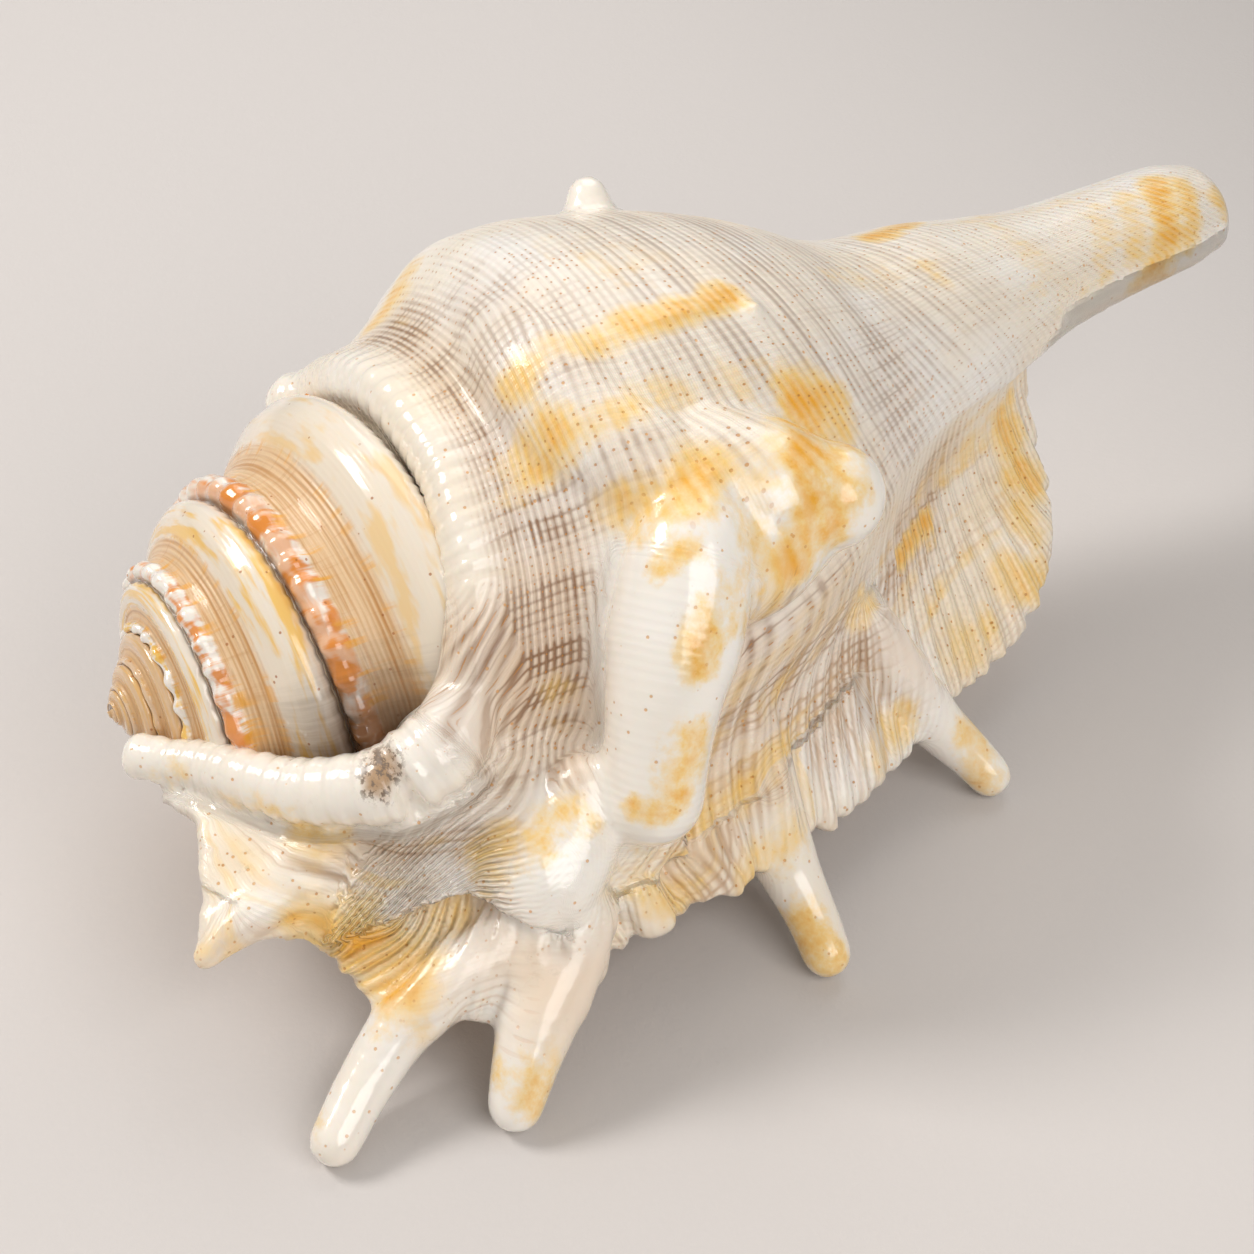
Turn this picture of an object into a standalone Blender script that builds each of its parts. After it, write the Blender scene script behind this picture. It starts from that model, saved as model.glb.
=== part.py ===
"""A large spider conch resting on its aperture, grown as one piece: spire, body whorl, knobs,
flared lip with its fingers, and a long front canal. +Y runs from the apex to the canal tip,
+X points to the lip, +Z is up, and the shell rests on Z = 0."""

import bmesh
import bpy
import numpy as np
from mathutils import Vector

MM = 0.001

# Driving dimensions, in millimetres.
VOXEL = 1.3                 # grid on which the grown forms are fused
THINNING = 0.068            # share of the fused faces that is kept
ORIGIN = (14.2, 122.5, 0)   # middle of the shell's width and length, measured from the apex

# Centre line of the whorls: distance from the apex, sideways offset, height.
CENTRE_LINE = [(-10, 0, 44), (50, 0, 45), (90, 0, 50), (120, -1, 55), (145, -4, 60),
               (165, -8, 63), (190, -13, 65), (215, -17, 66), (245, -20, 67), (262, -21, 68)]

# Suture helix: whorl number, distance from the apex, radius.
SUTURE = [(-4.0, -1.0, 0.3), (-3.0, 0.0, 1.4), (-2.0, 1.5, 3.6), (-1.0, 4.4, 7.6), (0.0, 7.8, 12.6),
          (1.0, 11.5, 21.0), (2.0, 26.6, 31.0), (3.0, 52.5, 41.0), (4.2, 78.0, 46.0)]
# Swell of a spire whorl between its two sutures, as a share of its width.
WHORL_SWELL = [(0, 0), (0.03, 0.06), (0.09, 0.10), (0.16, 0.06), (0.28, 0.02), (0.44, 0.06),
               (0.62, 0.15), (0.78, 0.19), (0.90, 0.17), (0.97, 0.09), (1, 0)]
# Last suture, which climbs back towards the apex near the lip: growth angle, distance.
LAST_SUTURE = [(-260, 32), (-200, 34), (-130, 40), (-60, 48), (0, 53), (20, 53), (35, 51.5),
               (48, 49.5), (60, 46), (70, 43), (78, 37), (90, 33), (100, 32)]
# Body whorl and canal, over the back: distance from the apex, radius.
BODY_PROFILE = [(53, 43), (54, 46.5), (56.5, 48.6), (60, 48.8), (64, 49.5), (70, 52.7), (76, 57.5),
                (82, 60.5), (90, 60), (100, 57.5), (112, 53.5), (127, 46), (138, 38.5), (146, 32.5),
                (155, 28), (172, 23.5), (187, 18.8), (203, 15.2), (218, 14), (236, 13), (241.5, 11.6)]
CANAL_START_OF_TIP = 241.5
CANAL_TIP = 8.5              # how far its round end reaches
SHOULDER_AT = 90.0

# Radius of the body whorl as a share of the back's: growth angle, share behind the shoulder
# (at the rolled rim), share in front of it.
GIRTH = [(-260, 0.60, 0.60), (-245, 0.62, 0.62), (-225, 0.66, 0.66), (-210, 0.76, 0.76),
         (-195, 0.83, 0.84), (-180, 0.84, 0.85), (-150, 0.86, 0.86), (-110, 0.93, 0.93),
         (-60, 1.0, 1.0), (0, 1.0, 1.0), (25, 1.02, 0.98), (50, 1.05, 0.94), (66, 1.06, 0.94),
         (78, 1.03, 0.94), (86, 0.95, 0.93), (91, 0.86, 0.82), (100, 0.60, 0.60)]

# Outer lip: where its sheet starts inside the whorl, where it comes out, its margin point, and the
# inward pull of the fall between them. A single number is a distance from the apex on the whorl.
LIP = [
    ((22, 8, 41), (21, 6, 41), (18, 2.5, 39), 0), ((30, 14, 42), (31, 13, 41), (28, 6.5, 40), 0),
    ((35, 22, 44), (38, 20, 42), (38, 3, 35.5), 0), ((40, 29, 47), (43, 27, 45), (46, -1, 30), 0),
    ((42, 36, 52), (47, 33, 48), (49, 14, 28), 0), ((42, 42, 57), (49, 39, 52), (54, 18, 26), 0),
    (58, 50, (61, 22, 20), 2), (62, 57, (68.5, 32, 18), 3), (67, 64, (74, 50, 16), 5),
    (75, 73, (67, 69, 20), 6), (86, 86, (68, 84, 20), 5), (104, 105, (60, 106, 18), 6),
    (116, 120, (53, 122, 16), 7), (130, 136, (43, 142, 17), 9), (142, 149, (33, 159, 16), 11),
    (152, 159, (27, 171, 15), 12), (160, 167, (21, 182.5, 18), 11), (168, 175, (12, 191.5, 27), 9),
    (176, 182, (1.5, 194, 37.5), 5), (184, 189, (-8.5, 196.5, 47), 2), (192, 195, (-12.5, 198, 55), 0),
]
LIP_THICK = (8.5, 4.6)      # at the body, at the margin
CRENULE_PITCH = 6.2
CRENULE_RISE = 2.0
# Earlier growth stage of the lip, left as a ledge above the fingers; same columns as LIP.
LEDGE = [
    ((42, 36, 52), (45.5, 34, 48.5), (55, 15.5, 28), 0), ((42, 42, 57), (49, 38, 52), (58, 24, 31), -1),
    (54, 43, (60.8, 32.5, 34.5), -2), (57, 48, (63, 38.5, 36), -4), (60, 52, (69, 42.3, 34.5), -6),
    (62, 55, (73, 47.2, 32.5), -8), (65, 58, (71, 54, 30.5), -8), (69, 62, (66.3, 61, 29.5), -7),
    (73, 68, (66.8, 69, 29), -5), (79, 76, (65, 79.5, 29), -3),
]
LEDGE_THICK = (8.0, 6.0)

# Round-ended limbs: name, then points along each as (x, y, z, radius).
LIMBS = {
    "rear_spur": [(36, 54, 63, 5), (43, 48.5, 60, 6), (48.5, 41, 55.5, 7.4),
                  (48.5, 33, 52, 7), (43.5, 25.2, 49.3, 5.9), (37.3, 19, 47, 5.5),
                  (30, 14, 46, 4.9), (21.5, 9, 44.5, 4.4), (16, 4, 43.5, 3.8), (13, 1.3, 43, 4.4)],
    "finger_1": [(46, 12, 32, 3.8), (46.8, 5, 31, 4.2), (47.6, 0, 29.5, 3.4), (48.6, -3, 28.2, 2.6)],
    "finger_2": [(64, 47, 26, 6), (65.5, 37, 22, 6.4), (66.4, 25, 16, 5.7), (70, 15.5, 9.6, 5),
                 (75.4, 7, 4.3, 4.5)],
    "finger_3": [(68.5, 57, 27, 6), (72, 51, 20.5, 7.2), (76, 44.5, 15, 6.8), (80, 39.7, 9.6, 5.7),
                 (82.5, 36.8, 4.8, 4.9)],
    "web": [(65, 50, 26, 7), (69.5, 46.5, 20.5, 7.2), (70, 41.5, 17, 5.2)],
    "finger_4": [(43, 99, 49, 6), (47.4, 98, 39, 7.4), (52, 98.6, 29, 7.8), (58, 100, 19.5, 6.8),
                 (63.5, 101.5, 12.8, 5.6), (70, 102, 8, 4.8), (76, 101.6, 4.4, 4.5)],
    "finger_5": [(29.5, 130, 44, 6), (34, 132, 38, 6.8), (36.8, 137, 29.5, 6.6), (39.5, 142.5, 20, 6),
                 (42.5, 148, 12.3, 5.2), (46, 152, 7.3, 4.6), (49, 154.2, 4.1, 4.3)],
    "knob_a": [(43, 92, 86, 8), (50.5, 86.5, 79.5, 11.3), (56, 81, 70, 11.6), (60.5, 76.5, 61.8, 10),
               (63, 74, 53.4, 9.1), (64.6, 72.2, 45.4, 9)],
    "saddle": [(48, 88, 75, 11), (46, 99, 75, 12.5), (42.5, 108, 76, 12)],
    "knob_b": [(36, 97, 83, 14), (42, 106, 81, 14), (46.5, 116.5, 80.5, 9.5)],
    "knob_c": [(-25, 108, 92, 8), (-29, 109.5, 98, 5.5), (-31, 110, 101.5, 4)],
    "knob_d": [(58.5, 62, 46, 6.5), (60.5, 59.5, 41, 8.4), (62.6, 56.5, 37.5, 9),
               (65.5, 53, 34.5, 8.2)],
    "nodule": [(65, 68, 26, 5), (68.5, 70.5, 21, 4)],
    "far_knob": [(-28, 55, 66, 9), (-34, 51, 73, 5.5)],
    "crest": [(-22, 84, 90, 11), (-4, 81, 95.5, 11.5), (12, 79, 96, 12.2), (25, 81, 92, 11.5),
              (34, 87, 88, 11), (42, 93, 82, 10)],
    "back_ray": [(18, 80, 102, 4.2), (17, 99, 103.2, 3.4), (14, 116, 100, 3)],
}


def ease_through(points, column=1):
    """Smooth curve through points that never overshoots them."""
    table = np.array([[p[0], p[column]] for p in points], float)
    x, y = table[:, 0], table[:, 1]
    step, slope = np.diff(x), np.diff(y) / np.diff(x)
    tangent = np.zeros(len(x))
    for i in range(1, len(x) - 1):
        if slope[i - 1] * slope[i] > 0:
            w0, w1 = 2 * step[i] + step[i - 1], step[i] + 2 * step[i - 1]
            tangent[i] = (w0 + w1) / (w0 / slope[i - 1] + w1 / slope[i])
    tangent[0], tangent[-1] = slope[0], slope[-1]

    def value(at):
        at = np.clip(np.asarray(at, float), x[0], x[-1])
        i = np.clip(np.searchsorted(x, at, side="right") - 1, 0, len(x) - 2)
        t = (at - x[i]) / step[i]
        return ((2 * t**3 - 3 * t**2 + 1) * y[i] + (t**3 - 2 * t**2 + t) * step[i] * tangent[i]
                + (3 * t**2 - 2 * t**3) * y[i + 1] + (t**3 - t**2) * step[i] * tangent[i + 1])
    return value


def smoothstep(low, high, x):
    t = np.clip((x - low) / (high - low), 0, 1)
    return t * t * (3 - 2 * t)


centre_x, centre_z = ease_through(CENTRE_LINE, 1), ease_through(CENTRE_LINE, 2)
suture_y, suture_r = ease_through(SUTURE, 1), ease_through(SUTURE, 2)
whorl_swell = ease_through(WHORL_SWELL)
last_suture = ease_through(LAST_SUTURE)
rim_girth, front_girth = ease_through(GIRTH, 1), ease_through(GIRTH, 2)
body_radius = ease_through(BODY_PROFILE)


def around(angle, along, radius):
    """Point at a growth angle (degrees, 0 on the back, 90 at the lip) around the centre line."""
    turn = np.radians(angle)
    return np.stack([centre_x(along) + radius * np.sin(turn), along + 0 * turn,
                     centre_z(along) + radius * np.cos(turn)], -1)


def closed_tube(grid):
    """Mesh of rings (rows) joined along their length, each end closed on a pole."""
    rows, columns = grid.shape[:2]
    verts = [grid[0].mean(0)] + [p for ring in grid for p in ring] + [grid[-1].mean(0)]
    ring = lambda i, j: 1 + i * columns + j % columns
    faces = [(ring(i, j), ring(i, j + 1), ring(i + 1, j + 1), ring(i + 1, j))
             for i in range(rows - 1) for j in range(columns)]
    faces += [(0, ring(0, j + 1), ring(0, j)) for j in range(columns)]
    faces += [(len(verts) - 1, ring(rows - 1, j), ring(rows - 1, j + 1)) for j in range(columns)]
    return verts, faces


def spire():
    """Helical whorls from the apex, running on inside the body whorl."""
    columns, per_whorl = 96, 16
    angle = np.linspace(-260, 100, columns, endpoint=False)
    rows = []
    for v in np.arange(-3.7, 3.9, 1.0 / per_whorl):
        s = v - angle / 360
        whorl = np.floor(s)
        t = s - whorl
        n0 = whorl + angle / 360
        y0, r0, y1, r1 = suture_y(n0), suture_r(n0), suture_y(n0 + 1), suture_r(n0 + 1)
        swell = whorl_swell(t)
        along = y0 + (y1 - y0) * t - (r1 - r0) * swell
        radius = r0 + (r1 - r0) * t + (y1 - y0) * swell
        rows.append(around(angle, along, np.maximum(radius * smoothstep(4.1, 3.6, v), 0.05)))
    return closed_tube(np.array(rows))


def body_stretch(angle):
    return (SHOULDER_AT - last_suture(angle)) / (SHOULDER_AT - BODY_PROFILE[0][0])


def body_surface(angle, along):
    """Outer face of the body whorl and canal. 'along' is the distance from the apex over the back;
    elsewhere the stretch behind the shoulder reaches to where the last suture lies."""
    behind = SHOULDER_AT - (SHOULDER_AT - along) * body_stretch(angle)
    place = np.where(along < SHOULDER_AT, behind, along)
    front = smoothstep(57, 76, along)
    canal = smoothstep(150, 190, along)
    share = (rim_girth(angle) * (1 - front) + front_girth(angle) * front) * (1 - canal) + canal
    groove = np.exp(-((angle + 222) / 26.0) ** 2) * smoothstep(168, 185, along)
    radius = body_radius(along) * share * (1 - 0.55 * groove)
    return around(angle, place, radius)


def body_point(angle, place):
    """Outer face of the body whorl at a true distance from the apex."""
    behind = SHOULDER_AT - (SHOULDER_AT - place) / body_stretch(angle)
    return body_surface(angle, np.where(place < SHOULDER_AT, behind, place))


def body():
    columns = 144
    angle = np.linspace(-260, 100, columns, endpoint=False)
    rows = [around(angle, last_suture(angle) + 2, np.full(columns, r)) for r in (4, 16, 30, 38)]
    rows += [body_surface(angle, np.full(columns, y)) for y in np.linspace(53, CANAL_START_OF_TIP, 130)]
    tip = body_surface(angle, np.full(columns, CANAL_START_OF_TIP))
    centre = around(0, CANAL_START_OF_TIP, 0.0)
    for turn in np.radians([20, 40, 58, 74, 86]):
        ring = centre + (tip - centre) * np.cos(turn)
        ring[:, 1] += CANAL_TIP * np.sin(turn)
        rows.append(ring)
    return closed_tube(np.array(rows))


def lip_point(given, angle, sunk):
    """A point written out, or one on the body whorl at a distance from the apex."""
    if isinstance(given, tuple):
        return given
    point = body_point(np.array(float(angle)), np.array(float(given)))
    turn = np.radians(angle)
    return point - sunk * np.array([np.sin(turn), 0, np.cos(turn)])


def sheet(table, thickness, crenule_rise, columns):
    """Thick sheet from the side of the body whorl down to a free margin."""
    order = np.arange(len(table), dtype=float)
    pick = lambda get: ease_through([(i, get(row)) for i, row in enumerate(table)])
    starts = [pick(lambda r, k=k: lip_point(r[0], 58, 1.2)[k]) for k in range(3)]
    sides = [pick(lambda r, k=k: lip_point(r[1], 80, 0)[k]) for k in range(3)]
    edge = [pick(lambda r, k=k: r[2][k]) for k in range(3)]
    pull = pick(lambda r: r[3])
    fine = np.linspace(0, order[-1], 400)
    run = np.linalg.norm(np.diff(np.stack([f(fine) for f in edge], -1), axis=0), axis=1)
    run = np.concatenate([[0], np.cumsum(run)])
    distance = np.linspace(0, run[-1], columns)
    at = np.interp(distance, run, fine)
    start, side, margin = (np.stack([f(at) for f in group], -1) for group in (starts, sides, edge))
    mid = 0.5 * side + 0.5 * margin
    mid[:, 0] -= pull(at)
    outward = margin - mid
    outward /= np.linalg.norm(outward, axis=1)[:, None]
    wave = np.abs(np.sin(np.pi * distance / CRENULE_PITCH))
    margin = margin + outward * (crenule_rise * wave)[:, None]
    knots = [start, side, mid, margin]
    rows = []
    for s in np.linspace(0, 3, 36):
        i = min(int(s), 2)
        t = s - i
        p0, p1, p2, p3 = (knots[max(i - 1, 0)], knots[i], knots[i + 1], knots[min(i + 2, 3)])
        rows.append(0.5 * (2 * p1 + (p2 - p0) * t + (2 * p0 - 5 * p1 + 4 * p2 - p3) * t**2
                           + (3 * p1 - p0 - 3 * p2 + p3) * t**3))
    outer = np.array(rows)
    normal = np.cross(np.gradient(outer, axis=0), np.gradient(outer, axis=1))
    normal /= np.linalg.norm(normal, axis=2)[:, :, None] + 1e-9
    normal *= np.sign(normal[18, columns // 2, 0])
    thick = np.linspace(*thickness, len(rows))[:, None, None]
    inner = outer - normal * thick
    return closed_tube(np.concatenate([outer, inner[::-1]]).transpose(1, 0, 2))


def limb(points):
    """Tapered round-ended rod along a smooth path."""
    points = np.array(points, float)
    knots = np.arange(len(points), dtype=float)
    path = [ease_through(list(zip(knots, points[:, k]))) for k in range(4)]
    at = np.linspace(0, knots[-1], 24)
    centre = np.stack([f(at) for f in path[:3]], -1)
    radius = path[3](at)
    tangent = np.gradient(centre, axis=0)
    tangent /= np.linalg.norm(tangent, axis=1)[:, None]
    side = np.cross(tangent, [0.1, 0.9, 0.3])
    side /= np.linalg.norm(side, axis=1)[:, None]
    other = np.cross(tangent, side)
    turn = np.linspace(0, 2 * np.pi, 28, endpoint=False)

    def ring(i, dip):
        """Ring number i, or one on the round end beyond it, dipped by an angle in degrees."""
        reach = radius[i] * np.sin(np.radians(dip)) * (1 if i else -1)
        across = np.outer(np.cos(turn), side[i]) + np.outer(np.sin(turn), other[i])
        return centre[i] + tangent[i] * reach + radius[i] * np.cos(np.radians(dip)) * across

    rings = [ring(0, dip) for dip in (82, 60, 35)] + [ring(i, 0) for i in range(len(at))]
    rings += [ring(-1, dip) for dip in (20, 40, 60, 82)]
    return closed_tube(np.array(rings))


def add_form(bm, form):
    """Add one closed form to the mesh, facing out."""
    verts, faces = form
    made = [bm.verts.new(Vector((np.asarray(p) - ORIGIN) * MM)) for p in verts]
    new = [bm.faces.new([made[i] for i in face]) for face in faces]
    bmesh.ops.recalc_face_normals(bm, faces=new)


def shell_material():
    material = bpy.data.materials.new("cream_shell")
    material.use_nodes = True
    shader = material.node_tree.nodes["Principled BSDF"]
    shader.inputs["Base Color"].default_value = (0.80, 0.70, 0.56, 1)
    shader.inputs["Roughness"].default_value = 0.28
    shader.inputs["Metallic"].default_value = 0.0
    return material


def build_shell():
    bm = bmesh.new()
    add_form(bm, spire())
    add_form(bm, body())
    add_form(bm, sheet(LIP, LIP_THICK, CRENULE_RISE, 190))
    add_form(bm, sheet(LEDGE, LEDGE_THICK, 0.8, 60))
    for points in LIMBS.values():
        add_form(bm, limb(points))
    mesh = bpy.data.meshes.new("shell")
    bm.to_mesh(mesh)
    bm.free()
    shell = bpy.data.objects.new("shell", mesh)
    bpy.context.collection.objects.link(shell)
    mesh.materials.append(shell_material())
    fuse = shell.modifiers.new("fuse", "REMESH")
    fuse.mode, fuse.voxel_size, fuse.use_smooth_shade = "VOXEL", VOXEL * MM, True
    soften = shell.modifiers.new("soften", "SMOOTH")
    soften.factor, soften.iterations = 0.5, 4
    thin = shell.modifiers.new("thin", "DECIMATE")
    thin.ratio = THINNING
    bpy.ops.mesh.primitive_cube_add(size=1, location=(0, 0, -0.05), scale=(0.4, 0.5, 0.1))
    floor = bpy.context.object
    floor.name = "floor_cutter"
    floor.hide_render, floor.display_type = True, "WIRE"
    wear = shell.modifiers.new("worn_flat", "BOOLEAN")
    wear.operation, wear.object = "DIFFERENCE", floor
    return shell


def main():
    for old in list(bpy.data.objects):
        bpy.data.objects.remove(old, do_unlink=True)
    build_shell()


main()
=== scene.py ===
"""A large spider conch on a pale studio floor, dressed for a close look.

The shell grows from the same named values as its solid: a coil of whorls, a body whorl that runs
out into a long canal, a flared lip with fingers, and rounded knobs. Lengths are millimetres in the
shell's growing frame, whose apex lies near the origin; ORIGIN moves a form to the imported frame.
"""

import logging
from dataclasses import dataclass, field
from enum import Enum
from typing import Sequence

import bpy
import numpy as np
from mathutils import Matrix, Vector
from mathutils.bvhtree import BVHTree


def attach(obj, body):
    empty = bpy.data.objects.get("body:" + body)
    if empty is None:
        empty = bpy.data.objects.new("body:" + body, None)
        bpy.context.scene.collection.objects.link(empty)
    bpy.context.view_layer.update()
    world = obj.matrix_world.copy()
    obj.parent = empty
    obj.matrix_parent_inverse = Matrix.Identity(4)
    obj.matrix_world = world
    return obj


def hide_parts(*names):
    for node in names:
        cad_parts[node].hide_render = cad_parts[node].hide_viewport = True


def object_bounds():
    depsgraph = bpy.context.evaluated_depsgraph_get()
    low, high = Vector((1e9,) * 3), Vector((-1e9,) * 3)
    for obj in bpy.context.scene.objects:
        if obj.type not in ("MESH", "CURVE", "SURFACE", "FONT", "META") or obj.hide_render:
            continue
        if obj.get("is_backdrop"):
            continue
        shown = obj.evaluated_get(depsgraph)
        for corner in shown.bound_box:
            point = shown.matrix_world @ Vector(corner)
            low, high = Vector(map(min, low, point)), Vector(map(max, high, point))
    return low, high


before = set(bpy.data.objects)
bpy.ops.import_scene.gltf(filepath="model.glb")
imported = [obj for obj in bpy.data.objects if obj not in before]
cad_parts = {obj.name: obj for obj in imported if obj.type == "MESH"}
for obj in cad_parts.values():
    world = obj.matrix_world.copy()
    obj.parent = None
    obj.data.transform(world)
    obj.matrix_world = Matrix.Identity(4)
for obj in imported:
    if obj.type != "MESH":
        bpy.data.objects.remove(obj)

log = logging.getLogger("spider_conch")

MM = 0.001
ORIGIN = np.array([14.2, 122.5, 0.0])
BODY = "root"
NODE = "shell"
SKIN_DEPTH = (1.0, 0.55, 0.32)

Points = Sequence[Sequence[float]]
Pair = tuple[float, float]
Triple = tuple[float, float, float]


class Ease:
    """Smooth curve through table points that never overshoots them."""

    def __init__(self, points: Points, column: int = 1) -> None:
        """Fit the curve.

        Args:
            points: Rows of the table, the first column rising.
            column: Which column the curve gives.
        """
        table = np.array([[p[0], p[column]] for p in points], float)
        self.x, self.y = table[:, 0], table[:, 1]
        self.step = np.diff(self.x)
        slope = np.diff(self.y) / self.step
        self.tangent = np.zeros(len(self.x))
        for i in range(1, len(self.x) - 1):
            if slope[i - 1] * slope[i] > 0:
                w0 = 2 * self.step[i] + self.step[i - 1]
                w1 = self.step[i] + 2 * self.step[i - 1]
                self.tangent[i] = (w0 + w1) / (w0 / slope[i - 1] + w1 / slope[i])
        self.tangent[0], self.tangent[-1] = slope[0], slope[-1]

    def __call__(self, at: np.ndarray | float) -> np.ndarray:
        """Value of the curve at a place, held level beyond its ends."""
        x, y, tangent = self.x, self.y, self.tangent
        at = np.clip(np.asarray(at, float), x[0], x[-1])
        i = np.clip(np.searchsorted(x, at, side="right") - 1, 0, len(x) - 2)
        step = self.step[i]
        t = (at - x[i]) / step
        return ((2 * t**3 - 3 * t**2 + 1) * y[i] + (t**3 - 2 * t**2 + t) * step * tangent[i]
                + (3 * t**2 - 2 * t**3) * y[i + 1] + (t**3 - t**2) * step * tangent[i + 1])


def eases(values: Sequence[Sequence[float]]) -> list[Ease]:
    """Curves through the columns of a table whose rows lie one step apart."""
    return [Ease(list(enumerate(column))) for column in np.asarray(values, float).T]


def smoothstep(low: float, high: float, x: np.ndarray | float) -> np.ndarray:
    """Soft step from 0 at low to 1 at high."""
    t = np.clip((np.asarray(x, float) - low) / (high - low), 0, 1)
    return t * t * (3 - 2 * t)


def unit(vectors: np.ndarray) -> np.ndarray:
    """Vectors scaled to length one along the last axis."""
    return vectors / (np.linalg.norm(vectors, axis=-1, keepdims=True) + 1e-9)


@dataclass
class Form:
    """A closed mesh in the growing frame, in millimetres."""

    verts: np.ndarray
    faces: list[tuple[int, ...]]

    @staticmethod
    def tube(grid: np.ndarray) -> "Form":
        """Rings joined along their length, each end closed on a pole.

        Args:
            grid: Rows of rings of points.

        Returns:
            The closed form.
        """
        rows, columns = grid.shape[:2]
        poles = [grid[0].mean(0)[None], grid[-1].mean(0)[None]]
        verts = np.concatenate([poles[0], grid.reshape(-1, 3), poles[1]])
        i, j = np.meshgrid(np.arange(rows - 1), np.arange(columns), indexing="ij")

        def ring(a: int | np.ndarray, b: int | np.ndarray) -> int | np.ndarray:
            """Vertex number of column b of row a."""
            return 1 + a * columns + b % columns

        quads = np.stack([ring(i, j), ring(i, j + 1), ring(i + 1, j + 1), ring(i + 1, j)], -1)
        faces = [tuple(q) for q in quads.reshape(-1, 4).tolist()]
        faces += [(0, ring(0, k + 1), ring(0, k)) for k in range(columns)]
        last = len(verts) - 1
        faces += [(last, ring(rows - 1, k), ring(rows - 1, k + 1)) for k in range(columns)]
        return Form(verts, faces).turned_out()

    def turned_out(self) -> "Form":
        """The same form with its faces pointing outwards."""
        volume = sum(np.dot(self.verts[f[0]], np.cross(self.verts[f[i]], self.verts[f[i + 1]]))
                     for f in self.faces for i in range(1, len(f) - 1))
        return self if volume > 0 else Form(self.verts, [f[::-1] for f in self.faces])

    @staticmethod
    def joined(forms: Sequence["Form"]) -> "Form":
        """Several forms as one mesh."""
        verts, faces, start = [], [], 0
        for form in forms:
            verts.append(form.verts)
            faces += [tuple(i + start for i in f) for f in form.faces]
            start += len(form.verts)
        return Form(np.concatenate(verts), faces)

    def mesh(self, name: str) -> bpy.types.Mesh:
        """A Blender mesh of the form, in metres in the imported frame."""
        mesh = bpy.data.meshes.new(name)
        mesh.from_pydata(((self.verts - ORIGIN) * MM).tolist(), [], self.faces)
        mesh.update()
        return mesh


def placed(name: str, mesh: bpy.types.Mesh) -> bpy.types.Object:
    """A new object of the mesh, standing at the origin."""
    piece = bpy.data.objects.new(name, mesh)
    bpy.context.scene.collection.objects.link(piece)
    return piece


def settled(piece: bpy.types.Object) -> bpy.types.Object:
    """Turn the result of a piece's modifiers into its plain mesh and drop the modifiers."""
    graph = bpy.context.evaluated_depsgraph_get()
    mesh = bpy.data.meshes.new_from_object(piece.evaluated_get(graph), depsgraph=graph)
    old = piece.data
    piece.modifiers.clear()
    piece.data = mesh
    mesh.name = piece.name
    bpy.data.meshes.remove(old)
    return piece


def vertices(mesh: bpy.types.Mesh) -> np.ndarray:
    """Vertex places of a mesh, in the growing frame in millimetres."""
    flat = np.empty(len(mesh.vertices) * 3)
    mesh.vertices.foreach_get("co", flat)
    return flat.reshape(-1, 3) / MM + ORIGIN


def edge_ends(mesh: bpy.types.Mesh) -> tuple[np.ndarray, np.ndarray]:
    """Vertex numbers of the two ends of every edge."""
    ends = np.empty(len(mesh.edges) * 2, np.int32)
    mesh.edges.foreach_get("vertices", ends)
    return ends[::2], ends[1::2]


def store(mesh: bpy.types.Mesh, name: str, values: np.ndarray) -> None:
    """Keep one number per vertex on the mesh under a name."""
    layer = mesh.attributes.new(name, "FLOAT", "POINT")
    layer.data.foreach_set("value", np.asarray(values, np.float32).ravel())


class Wire:
    """An output socket that takes part in Python arithmetic."""

    def __init__(self, graph: "Graph", socket: bpy.types.NodeSocket) -> None:
        """Wrap a socket of a graph."""
        self.graph, self.socket = graph, socket

    def __add__(self, other: "Value") -> "Wire":
        """Sum."""
        return self.graph.maths("ADD", self, other)

    def __sub__(self, other: "Value") -> "Wire":
        """Difference."""
        return self.graph.maths("SUBTRACT", self, other)

    def __rsub__(self, other: "Value") -> "Wire":
        """Difference from a number."""
        return self.graph.maths("SUBTRACT", other, self)

    def __mul__(self, other: "Value") -> "Wire":
        """Product."""
        return self.graph.maths("MULTIPLY", self, other)

    def __truediv__(self, other: "Value") -> "Wire":
        """Quotient."""
        return self.graph.maths("DIVIDE", self, other)

    def __pow__(self, other: "Value") -> "Wire":
        """Power."""
        return self.graph.maths("POWER", self, other)

    __radd__ = __add__
    __rmul__ = __mul__


Value = Wire | float


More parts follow.
